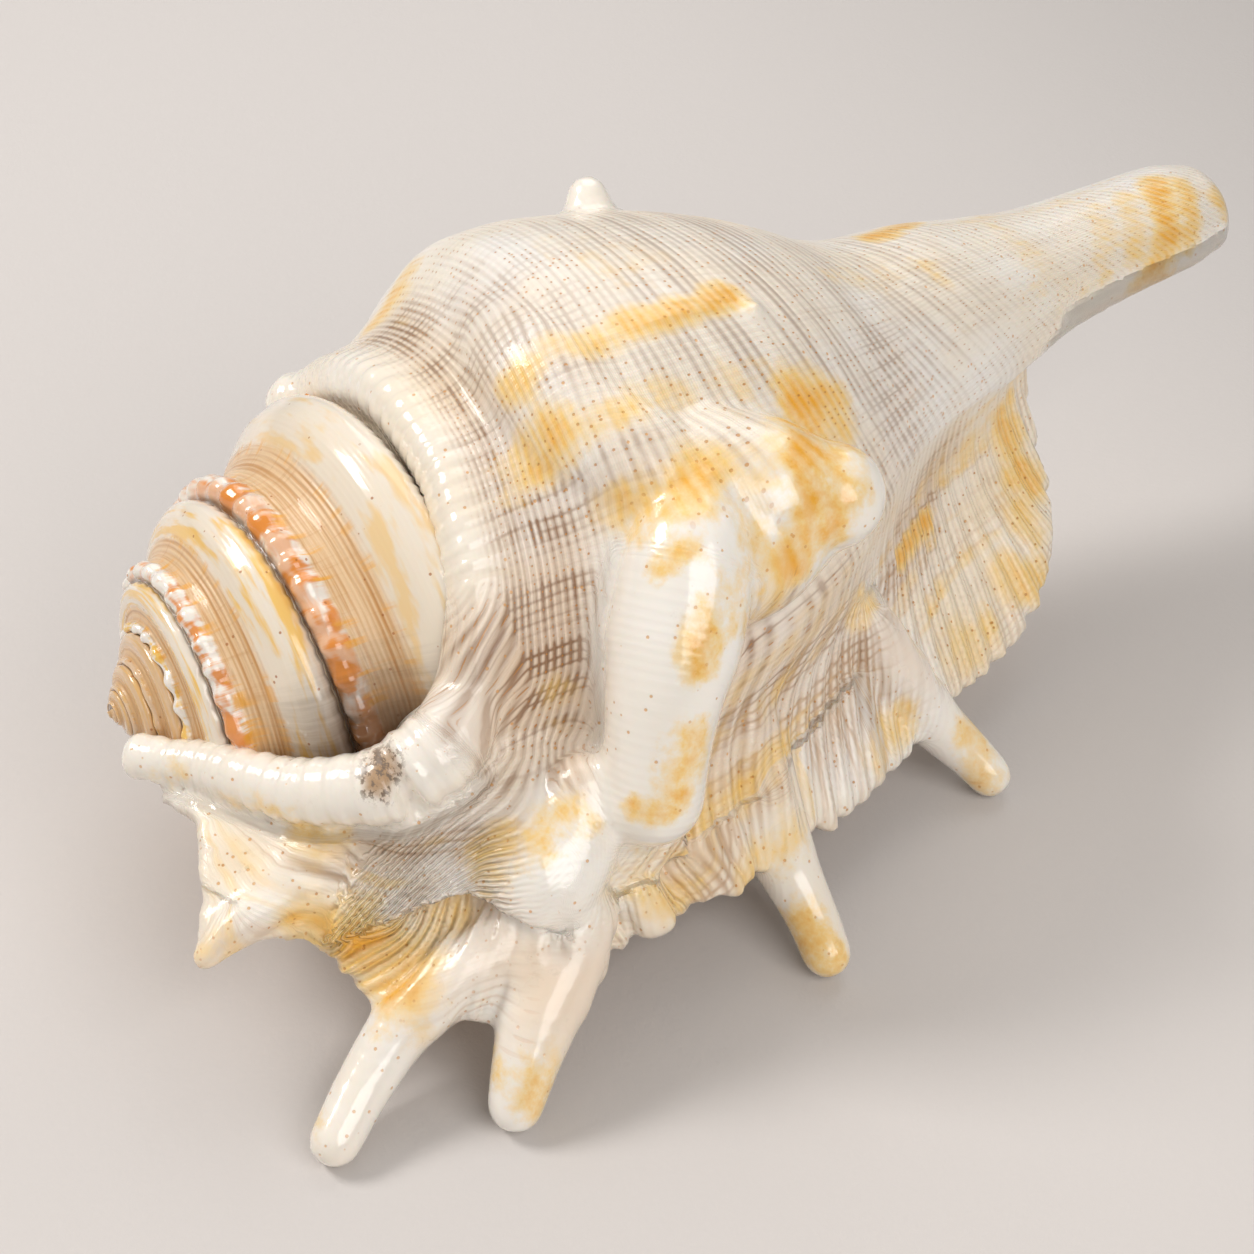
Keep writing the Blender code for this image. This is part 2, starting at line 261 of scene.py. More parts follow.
class Graph:
    """A node tree that is written as expressions, for a material or for geometry."""

    def __init__(self, tree: bpy.types.NodeTree) -> None:
        """Start writing into a tree."""
        self.tree = tree
        self.geometry = tree.bl_idname == "GeometryNodeTree"

    def node(self, kind: str, settings: dict | None = None, out: str | int = 0,
             **sockets: object) -> Wire:
        """Add a node.

        Args:
            kind: The node's type.
            settings: Properties that are set first.
            out: Which output is returned, by name, identifier or number.
            **sockets: Values or wires by input name or identifier, spaces written as _.

        Returns:
            The chosen output.
        """
        node = self.tree.nodes.new(kind)
        for name, value in (settings or {}).items():
            setattr(node, name, value)
        for name, value in sockets.items():
            self.join(node, self.find(node.inputs, name), value)
        return Wire(self, self.find(node.outputs, out))

    @staticmethod
    def find(sockets: bpy.types.bpy_prop_collection, name: str | int) -> bpy.types.NodeSocket:
        """A socket by number, identifier or name."""
        if isinstance(name, int):
            return [s for s in sockets if s.enabled][name]
        for socket in sockets:
            if socket.enabled and name in (socket.identifier, socket.name.replace(" ", "_")):
                return socket
        raise KeyError(name)

    def join(self, node: bpy.types.Node, socket: bpy.types.NodeSocket, value: object) -> None:
        """Link a wire to an input, or set the input's value."""
        if isinstance(value, Wire):
            self.tree.links.new(value.socket, socket)
        elif isinstance(value, tuple) and socket.type == "RGBA":
            socket.default_value = (*value, 1.0) if len(value) == 3 else value
        else:
            socket.default_value = value

    def maths(self, operation: str, *values: Value) -> Wire:
        """A Math node on up to three values."""
        node = self.tree.nodes.new("ShaderNodeMath")
        node.operation = operation
        for socket, value in zip(node.inputs, values):
            self.join(node, socket, value)
        return Wire(self, node.outputs[0])

    def attribute(self, name: str) -> Wire:
        """A number kept on the mesh."""
        if self.geometry:
            return self.node("GeometryNodeInputNamedAttribute", {"data_type": "FLOAT"}, Name=name)
        return self.node("ShaderNodeAttribute", {"attribute_name": name}, "Fac")

    def vector(self, x: Value = 0.0, y: Value = 0.0, z: Value = 0.0) -> Wire:
        """A vector of three numbers."""
        return self.node("ShaderNodeCombineXYZ", X=x, Y=y, Z=z)

    def step(self, value: Value, low: float, high: float) -> Wire:
        """Soft step from 0 at low to 1 at high."""
        return self.node("ShaderNodeMapRange", {"interpolation_type": "SMOOTHSTEP"},
                         Value=value, From_Min=low, From_Max=high)

    def wave(self, phase: Value) -> Wire:
        """Smooth wave from 0 at whole phases to 1 halfway between them."""
        return 0.5 - self.maths("COSINE", phase * (2 * np.pi)) * 0.5

    def noise(self, place: Wire, scale: float = 1.0, detail: float = 2.0,
              rough: float = 0.5) -> Wire:
        """Noise from 0 to 1 at a place."""
        return self.node("ShaderNodeTexNoise", {"noise_dimensions": "3D"}, Vector=place,
                         Scale=scale, Detail=detail, Roughness=rough)

    def mix(self, share: Value, first: object, second: object) -> Wire:
        """Blend of two colours."""
        return self.node("ShaderNodeMix", {"data_type": "RGBA"}, "Result_Color",
                         Factor_Float=share, A_Color=first, B_Color=second)

    def flecks(self, place: Wire, scale: float, size: Pair, chosen: Pair) -> Wire:
        """Round flecks scattered over a place.

        Args:
            place: Where the pattern is read.
            scale: Cells per metre.
            size: Distances from a cell's middle where a fleck begins and has faded, in cells.
            chosen: Range of a cell's random number over which it gets a fleck.

        Returns:
            1 in a fleck and 0 outside.
        """
        apart = self.node("ShaderNodeTexVoronoi", {}, "Distance", Vector=place, Scale=scale,
                          Randomness=1.0)
        tone = Wire(self, self.find(apart.socket.node.outputs, "Color"))
        pick = self.node("ShaderNodeSeparateColor", out="Red", Color=tone)
        return (1.0 - self.step(apart, *size)) * self.step(pick, *chosen)

    def shaded(self, material: bpy.types.Material,
               values: dict[str, object]) -> bpy.types.Material:
        """A material whose Principled shader takes wires and values by socket name."""
        shader = self.tree.nodes["Principled BSDF"]
        for name, value in values.items():
            self.join(shader, shader.inputs[name], value)
        return material

    def raised(self, mesh: Wire, rise: Wire) -> Wire:
        """A geometry whose points are moved out along its normals."""
        lift = self.node("ShaderNodeVectorMath", {"operation": "SCALE"},
                         Vector=self.node("GeometryNodeInputNormal"), Scale=rise)
        return self.node("GeometryNodeSetPosition", Geometry=mesh, Offset=lift)


def geometry_tree(name: str, sizes: dict[str, float]) -> tuple[Graph, Wire, dict[str, Wire]]:
    """A new Geometry Nodes tree with named number inputs.

    Args:
        name: Name of the tree.
        sizes: Input names with their usual values.

    Returns:
        The graph, the incoming geometry and the inputs by name.
    """
    tree = bpy.data.node_groups.new(name, "GeometryNodeTree")
    tree.interface.new_socket("Geometry", in_out="INPUT", socket_type="NodeSocketGeometry")
    tree.interface.new_socket("Geometry", in_out="OUTPUT", socket_type="NodeSocketGeometry")
    for label, value in sizes.items():
        socket = tree.interface.new_socket(label, in_out="INPUT", socket_type="NodeSocketFloat")
        socket.default_value = value
    entry = tree.nodes.new("NodeGroupInput")
    graph = Graph(tree)
    inputs = {label: Wire(graph, entry.outputs[label]) for label in sizes}
    return graph, Wire(graph, entry.outputs["Geometry"]), inputs


def run_tree(piece: bpy.types.Object, graph: Graph, result: Wire, material: bpy.types.Material,
             sizes: dict[str, float]) -> bpy.types.Object:
    """Finish a geometry tree with real meshes and a material, run it and keep the result.

    Args:
        piece: The object that the tree works on.
        graph: The tree.
        result: Its last geometry.
        material: Finish of the result.
        sizes: Values for the named inputs.

    Returns:
        The piece with a plain mesh.
    """
    real = graph.node("GeometryNodeRealizeInstances", Geometry=result)
    done = graph.node("GeometryNodeSetMaterial", Geometry=real, Material=material)
    leave = graph.tree.nodes.new("NodeGroupOutput")
    graph.tree.links.new(done.socket, leave.inputs["Geometry"])
    modifier = piece.modifiers.new(graph.tree.name, "NODES")
    modifier.node_group = graph.tree
    for item in graph.tree.interface.items_tree:
        if item.item_type == "SOCKET" and item.in_out == "INPUT" and item.name in sizes:
            modifier[item.identifier] = sizes[item.name]
    return settled(piece)


@dataclass
class Coil:
    """Centre line that every whorl turns around, and the angles of growth around it."""

    centre_line: Points = ((-10, 0, 44), (50, 0, 45), (90, 0, 50), (120, -1, 55), (145, -4, 60),
                           (165, -8, 63), (190, -13, 65), (215, -17, 66), (245, -20, 67),
                           (262, -21, 68))
    seam: float = -260.0

    def __post_init__(self) -> None:
        """Fit the centre line."""
        self.x, self.z = Ease(self.centre_line, 1), Ease(self.centre_line, 2)

    def around(self, angle: np.ndarray, along: np.ndarray, radius: np.ndarray) -> np.ndarray:
        """Points at growth angles (degrees, 0 on the back, 90 at the lip) around the centre."""
        turn = np.radians(angle)
        return np.stack([self.x(along) + radius * np.sin(turn), along + 0 * turn,
                         self.z(along) + radius * np.cos(turn)], -1)

    def angle(self, places: np.ndarray) -> np.ndarray:
        """Growth angle of places, counted on from the seam."""
        across = places[:, 0] - self.x(places[:, 1])
        up = places[:, 2] - self.z(places[:, 1])
        return (np.degrees(np.arctan2(across, up)) - self.seam) % 360 + self.seam

    def radius(self, places: np.ndarray) -> np.ndarray:
        """Distance of places from the centre line."""
        return np.hypot(places[:, 0] - self.x(places[:, 1]), places[:, 2] - self.z(places[:, 1]))


@dataclass
class Spire:
    """The whorls before the last one, as one strip wound from the apex and sewn to itself."""

    coil: Coil
    suture: Points = ((-4.0, -1.0, 0.3), (-3.0, 0.0, 1.4), (-2.0, 1.5, 3.6), (-1.0, 4.4, 7.6),
                      (0.0, 7.8, 12.6), (1.0, 11.5, 21.0), (2.0, 26.6, 31.0), (3.0, 52.5, 41.0),
                      (4.2, 78.0, 46.0))
    swell: Points = ((0, 0), (0.02, 0.06), (0.06, 0.11), (0.11, 0.118), (0.16, 0.095),
                     (0.20, 0.055), (0.26, 0.03), (0.34, 0.025), (0.46, 0.06), (0.60, 0.14),
                     (0.74, 0.19), (0.86, 0.19), (0.94, 0.145), (0.98, 0.075), (1, 0))
    first: float = -3.9
    last: float = 2.9
    per_turn: int = 220
    across: int = 44
    bead_spacing: float = 5.2
    bead_rise: float = 1.0
    fold_spacing: float = 2.3
    fold_share: float = 0.35
    edge_crowding: float = 0.09
    end_taper: Pair = (4.1, 3.6)

    def __post_init__(self) -> None:
        """Fit the curves."""
        self.suture_y, self.suture_r = Ease(self.suture, 1), Ease(self.suture, 2)
        self.whorl_swell = Ease(self.swell)

    def surface(self, n: np.ndarray, t: np.ndarray) -> np.ndarray:
        """Points at whorl numbers n and shares t of the way from one suture to the next."""
        y0, y1 = self.suture_y(n), self.suture_y(n + 1)
        r0, r1 = self.suture_r(n), self.suture_r(n + 1)
        swell = self.whorl_swell(t)
        along = y0 + (y1 - y0) * t - (r1 - r0) * swell
        radius = r0 + (r1 - r0) * t + (y1 - y0) * swell
        radius = np.maximum(radius * smoothstep(*self.end_taper, n + t), 0.05)
        return self.coil.around(360 * n, along, radius)

    def strip(self) -> tuple[Form, dict[str, np.ndarray]]:
        """The wound strip and the numbers its pattern follows.

        Returns:
            The closed form, and per vertex the band across the whorl, the whorl number, the
            run along the coil and the width across it.
        """
        turns = int(round((self.last - self.first) * self.per_turn))
        n = self.first + np.arange(turns + 1) / self.per_turn
        even = np.linspace(0, 1, self.across + 1)
        t = (even - self.edge_crowding * np.sin(2 * np.pi * even))[:-1]
        nn, tt = np.meshgrid(n, t, indexing="ij")
        grid = self.surface(nn, tt)
        closing = self.surface(n[-self.per_turn:], np.ones(self.per_turn))
        rows = len(t)
        verts = np.concatenate([grid.reshape(-1, 3), closing])
        edge = len(n) * rows

        def at(j: int, i: int) -> int:
            """Vertex number of column j and row i, where a last row is the next turn's first."""
            if i < rows:
                return j * rows + i
            return (j + self.per_turn) * rows if j + self.per_turn < len(n) else (
                edge + j + self.per_turn - len(n))

        faces = [(at(j, i), at(j + 1, i), at(j + 1, i + 1), at(j, i + 1))
                 for j in range(len(n) - 1) for i in range(rows)]
        start = [at(j, 0) for j in range(self.per_turn + 1)]
        start += [at(0, i) for i in range(rows - 1, 0, -1)]
        end = [at(len(n) - 1, i) for i in range(rows + 1)]
        end += [at(j, rows) for j in range(len(n) - 2, len(n) - 1 - self.per_turn, -1)]
        run = np.concatenate([[0], np.cumsum(2 * np.pi * (self.suture_r(n[1:]) + 2)
                                             / self.per_turn)])
        width = np.hypot(self.suture_y(n + 1) - self.suture_y(n),
                         self.suture_r(n + 1) - self.suture_r(n))
        fields = {"band": tt.ravel(), "whorl": nn.ravel(),
                  "run": np.repeat(run, rows), "width": (width[:, None] * t[None]).ravel()}
        tail = {"band": np.ones(self.per_turn), "whorl": n[-self.per_turn:],
                "run": run[-self.per_turn:], "width": width[-self.per_turn:]}
        fields = {k: np.concatenate([v, tail[k]]) for k, v in fields.items()}
        for loop in (start, end):
            pole = verts[loop].mean(0)
            faces += [(len(verts), loop[(k + 1) % len(loop)], loop[k]) for k in range(len(loop))]
            verts = np.concatenate([verts, pole[None]])
            fields = {k: np.append(v, v[loop[0]]) for k, v in fields.items()}
        return Form(verts, faces), fields

    def relief_sizes(self) -> dict[str, float]:
        """Inputs of the relief."""
        return {"Bead Spacing": self.bead_spacing, "Bead Rise": self.bead_rise}

    def relief(self) -> tuple[Graph, Wire]:
        """Geometry tree that raises the beads below each suture and the folds across it."""
        graph, mesh, inputs = geometry_tree("beaded whorls", self.relief_sizes())
        band, whorl, run = (graph.attribute(k) for k in ("band", "whorl", "run"))
        wobble = graph.noise(graph.vector(run * 0.11, whorl, 0.0), 1.0, 1.0)
        bead = graph.wave(run / inputs["Bead Spacing"] + wobble * 0.9) - 0.45
        on_rim = graph.step(band, 0.005, 0.04) * (1.0 - graph.step(band, 0.14, 0.27))
        grown = graph.step(whorl, -1.6, 0.6)
        fold = graph.wave(run / self.fold_spacing + wobble) - 0.5
        fold = fold * graph.step(band, 0.93, 0.99) * self.fold_share
        rise = (bead * on_rim + fold) * grown * inputs["Bead Rise"] * MM
        return graph, graph.raised(mesh, rise)

    def build(self, finish: "SpireFinish") -> bpy.types.Object:
        """Make the spire.

        Args:
            finish: How its surface looks.

        Returns:
            The finished piece.
        """
        form, fields = self.strip()
        piece = placed("spire_whorls", form.turned_out().mesh("spire_whorls"))
        for name, values in fields.items():
            store(piece.data, name, values)
        graph, result = self.relief()
        piece = run_tree(piece, graph, result, finish.material(), self.relief_sizes())
        piece.data.shade_smooth()
        return piece


@dataclass
class BodyWhorl:
    """The last whorl with its rolled rim and shoulder, drawn out into the front canal."""

    coil: Coil
    last_suture: Points = ((-260, 32), (-200, 34), (-130, 40), (-60, 48), (0, 53), (20, 53),
                           (35, 51.5), (48, 49.5), (60, 46), (70, 43), (78, 37), (90, 33),
                           (100, 32))
    profile: Points = ((53, 43), (54, 46.5), (56.5, 48.6), (60, 48.8), (64, 49.5), (70, 52.7),
                       (76, 57.5), (82, 60.5), (90, 60), (100, 57.5), (112, 53.5), (127, 46),
                       (138, 38.5), (146, 32.5), (155, 28), (172, 23.5), (187, 18.8), (203, 15.2),
                       (218, 14), (236, 13), (241.5, 11.6))
    girth: Points = ((-260, 0.60, 0.60), (-245, 0.62, 0.62), (-225, 0.66, 0.66),
                     (-210, 0.76, 0.76), (-195, 0.83, 0.84), (-180, 0.84, 0.85),
                     (-150, 0.86, 0.86), (-110, 0.93, 0.93), (-60, 1.0, 1.0), (0, 1.0, 1.0),
                     (25, 1.02, 0.98), (50, 1.05, 0.94), (66, 1.06, 0.94),
                     (78, 1.03, 0.94), (86, 0.95, 0.93), (91, 0.86, 0.82),
                     (100, 0.60, 0.60))
    core_radii: Sequence[float] = (4.0, 16.0, 30.0, 38.0)
    tip_turns: Sequence[float] = (15, 30, 45, 58, 70, 80, 87)
    tip_reach: float = 8.5
    shoulder_at: float = 90.0
    gutter_angle: float = -222.0
    per_degree: float = 0.9
    cord_count: Points = ((20, -26), (53, 0), (80, 23), (100, 36), (252, 118))
    cord_slant: float = 0.27
    rib_count: Points = ((-40, -40), (30, 30), (60, 48), (130, 80))

    def __post_init__(self) -> None:
        """Fit the curves."""
        self.suture_at = Ease(self.last_suture)
        self.rim_girth, self.front_girth = Ease(self.girth, 1), Ease(self.girth, 2)
        self.radius = Ease(self.profile)
        self.cord_number, self.rib_number = Ease(self.cord_count), Ease(self.rib_count)

    def cord(self, angle: np.ndarray, along: np.ndarray) -> np.ndarray:
        """Number of the spiral cord that passes a place; in front they slant with the growth."""
        slant = self.cord_slant * smoothstep(80, 128, along)
        return self.cord_number(along - slant * np.clip(angle, -150, 100))

    def stretch(self, angle: np.ndarray | float) -> np.ndarray:
        """How much longer the slope behind the shoulder is than over the back."""
        return ((self.shoulder_at - self.suture_at(angle))
                / (self.shoulder_at - self.profile[0][0]))

    def along(self, place: np.ndarray, angle: np.ndarray) -> np.ndarray:
        """Distance over the back that belongs to a true distance from the apex."""
        behind = self.shoulder_at - (self.shoulder_at - place) / self.stretch(angle)
        return np.where(place < self.shoulder_at, behind, place)

    def reach(self, angle: np.ndarray, along: np.ndarray) -> np.ndarray:
        """Radius of the outer face."""
        front = smoothstep(57, 76, along)
        canal = smoothstep(150, 190, along)
        share = self.rim_girth(angle) * (1 - front) + self.front_girth(angle) * front
        share = share * (1 - canal) + canal
        groove = np.exp(-((angle - self.gutter_angle) / 26.0) ** 2) * smoothstep(168, 185, along)
        return self.radius(along) * share * (1 - 0.55 * groove)

    def surface(self, angle: np.ndarray, along: np.ndarray) -> np.ndarray:
        """Outer face at growth angles and distances over the back."""
        behind = self.shoulder_at - (self.shoulder_at - along) * self.stretch(angle)
        place = np.where(along < self.shoulder_at, behind, along)
        return self.coil.around(angle, place, self.reach(angle, along))

    def point(self, angle: float, place: float) -> np.ndarray:
        """Outer face at a growth angle and a true distance from the apex."""
        at = np.array(float(angle))
        return self.surface(at, self.along(np.array(float(place)), at))

    def form(self) -> Form:
        """The closed body whorl and canal."""
        columns = 300
        angle = np.linspace(-260, 100, columns, endpoint=False)
        rows = [self.coil.around(angle, self.suture_at(angle) + 2, np.full(columns, r))
                for r in self.core_radii]
        begin, end = self.profile[0][0], self.profile[-1][0]
        rows += [self.surface(angle, np.full(columns, y)) for y in np.linspace(begin, end, 300)]
        tip = self.surface(angle, np.full(columns, float(end)))
        centre = self.coil.around(np.array(0.0), np.array(float(end)), np.array(0.0))
        for turn in np.radians(self.tip_turns):
            ring = centre + (tip - centre) * np.cos(turn)
            ring[:, 1] += self.tip_reach * np.sin(turn)
            rows.append(ring)
        return Form.tube(np.array(rows))


@dataclass
class LipSheet:
    """A thick sheet that leaves the side of the body whorl and falls to a free margin.

    A row of the table is: where the sheet starts inside the whorl, where it comes out, its margin
    point, the inward pull of the fall between them, and the distances over the back of the cords
    that pass where it comes out and at the margin. A single number for a point is a true distance
    from the apex on the whorl.
    """

    whorl: BodyWhorl
    table: Sequence[tuple]
    thickness: tuple[float, float] = (8.5, 4.6)
    crenule_rise: float = 1.2
    crenule_pitch: float = 6.2
    columns: int = 420
    rows: int = 90
    root_angle: float = 58.0
    root_sunk: float = 1.2
    leave_angle: float = 80.0
    fine_steps: int = 800
    margin_share: float = 0.7

    def start_point(self, given: object, angle: float, sunk: float) -> np.ndarray:
        """A point written out, or one on the body whorl at a distance from the apex."""
        if isinstance(given, tuple):
            return np.array(given, float)
        turn = np.radians(angle)
        return self.whorl.point(angle, given) - sunk * np.array([np.sin(turn), 0, np.cos(turn)])

    def margin_run(self) -> tuple[np.ndarray, np.ndarray]:
        """Run along the margin, and the place in the table at each step of it."""
        edges = [r[2] for r in self.table]
        fine = np.linspace(0, len(edges) - 1, self.fine_steps)
        margin = np.stack([f(fine) for f in eases(edges)], -1)
        run = np.linalg.norm(np.diff(margin, axis=0), axis=1)
        return np.concatenate([[0], np.cumsum(run)]), fine

    def column_places(self) -> np.ndarray:
        """Place in the table of each column of the sheet."""
        run, fine = self.margin_run()
        return np.interp(np.linspace(0, run[-1], self.columns), run, fine)

    def lines(self) -> tuple[np.ndarray, np.ndarray]:
        """Sheet's outer face as rows from the whorl to the margin.

        Returns:
            The grid of points, and the run along the margin per column.
        """
        starts = [self.start_point(r[0], self.root_angle, self.root_sunk) for r in self.table]
        sides = [self.start_point(r[1], self.leave_angle, 0) for r in self.table]
        edges = [r[2] for r in self.table]
        pull = Ease([(i, r[3]) for i, r in enumerate(self.table)])
        distance = np.linspace(0, self.margin_run()[0][-1], self.columns)
        at = self.column_places()
        start, side, margin = (np.stack([f(at) for f in eases(places)], -1)
                               for places in (starts, sides, edges))
        mid = 0.5 * side + 0.5 * margin
        mid[:, 0] -= pull(at)
        outward = unit(margin - mid)
        wave = np.abs(np.sin(np.pi * distance / self.crenule_pitch))
        margin = margin + outward * (self.crenule_rise * wave)[:, None]
        knots = [start, side, mid, margin]
        lines = []
        for s in np.linspace(0, 3, self.rows):
            i = min(int(s), 2)
            t = s - i
            p0, p1, p2, p3 = (knots[max(i - 1, 0)], knots[i], knots[i + 1], knots[min(i + 2, 3)])
            lines.append(0.5 * (2 * p1 + (p2 - p0) * t + (2 * p0 - 5 * p1 + 4 * p2 - p3) * t**2
                                + (3 * p1 - p0 - 3 * p2 + p3) * t**3))
        return np.array(lines), distance

    def faces_of(self) -> tuple[np.ndarray, np.ndarray]:
        """Outer and inner face of the sheet."""
        outer, _ = self.lines()
        normal = unit(np.cross(np.gradient(outer, axis=0), np.gradient(outer, axis=1)))
        normal *= np.sign(normal[self.rows // 2, self.columns // 2, 0])
        thick = np.linspace(*self.thickness, self.rows)[:, None, None]
        return outer, outer - normal * thick

    def form(self) -> Form:
        """The closed sheet."""
        outer, inner = self.faces_of()
        return Form.tube(np.concatenate([outer, inner[::-1]]).transpose(1, 0, 2))

    def pattern(self, outer: np.ndarray) -> tuple[np.ndarray, np.ndarray]:
        """Cord and growth numbers over the grid of the outer face."""
        leave = self.rows // 3
        at = self.column_places()
        root, tip = (Ease([(i, r[k]) for i, r in enumerate(self.table)])(at) for k in (4, 5))
        share = np.clip((np.arange(self.rows) - leave) / (self.rows - 1 - leave), 0, 1)[:, None]
        along = root + (tip - root) * share
        cord = self.whorl.cord(np.full(along.shape, self.leave_angle), along)
        step = np.linalg.norm(np.diff(outer[leave:], axis=0), axis=2).sum(0)
        fall = self.margin_share * step + (1 - self.margin_share) * step.mean()
        left = self.whorl.coil.angle(outer[leave]) * self.whorl.per_degree
        return cord, left + share * fall

    def closest(self, places: np.ndarray, facing: np.ndarray) -> dict[str, np.ndarray]:
        """Where places lie on the outer face.

        Args:
            places: Places near the sheet.
            facing: Directions that the skin faces there.

        Returns:
            The cord and growth numbers, the distance from the outer face, how far down the sheet
            (0 at the whorl, 1 at the margin) and how much the skin faces as the outer face does.
        """
        outer, inner = self.faces_of()
        cord, growth = self.pattern(outer)
        rows, columns = outer.shape[:2]
        r, c = np.meshgrid(np.arange(rows - 1), np.arange(columns - 1), indexing="ij")
        first = (r * columns + c).ravel()
        quads = np.stack([first, first + 1, first + columns + 1, first + columns], -1)
        tree = BVHTree.FromPolygons(outer.reshape(-1, 3).tolist(), quads.tolist())
        found = [tree.find_nearest(place) for place in places]
        spot = np.array([f[0][:] for f in found])
        r, c = np.divmod(np.array([f[2] for f in found]), columns - 1)
        corner = outer[r, c]
        steps = [outer[r + 1, c] - corner, outer[r, c + 1] - corner]
        down, over = (np.clip(((spot - corner) * e).sum(1) / ((e * e).sum(1) + 1e-9), 0, 1)
                      for e in steps)

        def read(grid: np.ndarray) -> np.ndarray:
            """Grid numbers between the four corners."""
            return ((1 - down) * ((1 - over) * grid[r, c] + over * grid[r, c + 1])
                    + down * ((1 - over) * grid[r + 1, c] + over * grid[r + 1, c + 1]))

        depth = unit(outer - inner)
        return {"cord": read(cord), "growth": read(growth),
                "apart": np.array([f[3] for f in found]),
                "fall": (r + down) / (rows - 1),
                "facing": (depth[r, c] * facing).sum(1)}


@dataclass
class MarginRibs:
    """Ribs that swell towards the margin of the lip and end in rounded scallops."""

    sheet: LipSheet
    girth: float = 2.2
    overhang: float = 1.4
    sunk: float = 1.2
    first_row: float = 0.5
    row_step: int = 3
    taper: float = 0.15
    seed: int = 7

    def rails(self) -> bpy.types.Mesh:
        """One poly line per rib, laid along a cord on the outer face of the sheet."""
        outer, inner = self.sheet.faces_of()
        cord, _ = self.sheet.pattern(outer)
        rib = self.sheet.whorl.rib_number(cord)
        columns = np.arange(outer.shape[1], dtype=float)
        first = int(self.first_row * (self.sheet.rows - 1))
        verts, edges = [], []
        for number in np.arange(np.ceil(rib[-1].min()), np.floor(rib[-1].max())) + 0.5:
            line = []
            for row in range(first, self.sheet.rows, self.row_step):
                at = np.interp(number, rib[row], columns)
                low = min(int(at), len(columns) - 2)
                blend = [face[row, low] + (at - low) * (face[row, low + 1] - face[row, low])
                         for face in (outer, inner)]
                line.append(blend[0] - unit(blend[0] - blend[1]) * self.sunk)
            line.append(line[-1] + unit(line[-1] - line[-3]) * self.overhang)
            edges += [(len(verts) + i, len(verts) + i + 1) for i in range(len(line) - 1)]
            verts += ((np.array(line) - ORIGIN) * MM).tolist()
        mesh = bpy.data.meshes.new("rib_rails")
        mesh.from_pydata(verts, edges, [])
        return mesh

    def build(self, material: bpy.types.Material) -> bpy.types.Object:
        """Thicken the rails into tapered round ribs."""
        sizes = {"Girth": self.girth, "Taper": self.taper}
        graph, rails, inputs = geometry_tree("margin ribs", sizes)
        curve = graph.node("GeometryNodeMeshToCurve", Mesh=rails)
        share = graph.node("GeometryNodeSplineParameter", out="Factor")
        random = graph.node("FunctionNodeRandomValue", {"data_type": "FLOAT"}, "Value_001",
                            Min_001=0.75, Max_001=1.15, Seed=self.seed,
                            ID=graph.node("GeometryNodeInputIndex"))
        swell = inputs["Taper"] + (1.0 - inputs["Taper"]) * graph.step(share, 0.0, 1.0)
        curve = graph.node("GeometryNodeSetCurveRadius", Curve=curve,
                           Radius=swell * (0.9 + 0.1 * random))
        ring = graph.node("GeometryNodeCurvePrimitiveCircle", Resolution=12,
                          Radius=inputs["Girth"] * MM)
        ribs = graph.node("GeometryNodeCurveToMesh", Curve=curve, Profile_Curve=ring,
                          Scale=swell, Fill_Caps=True)
        return run_tree(placed("margin_ribs", self.rails()), graph, ribs, material, sizes)


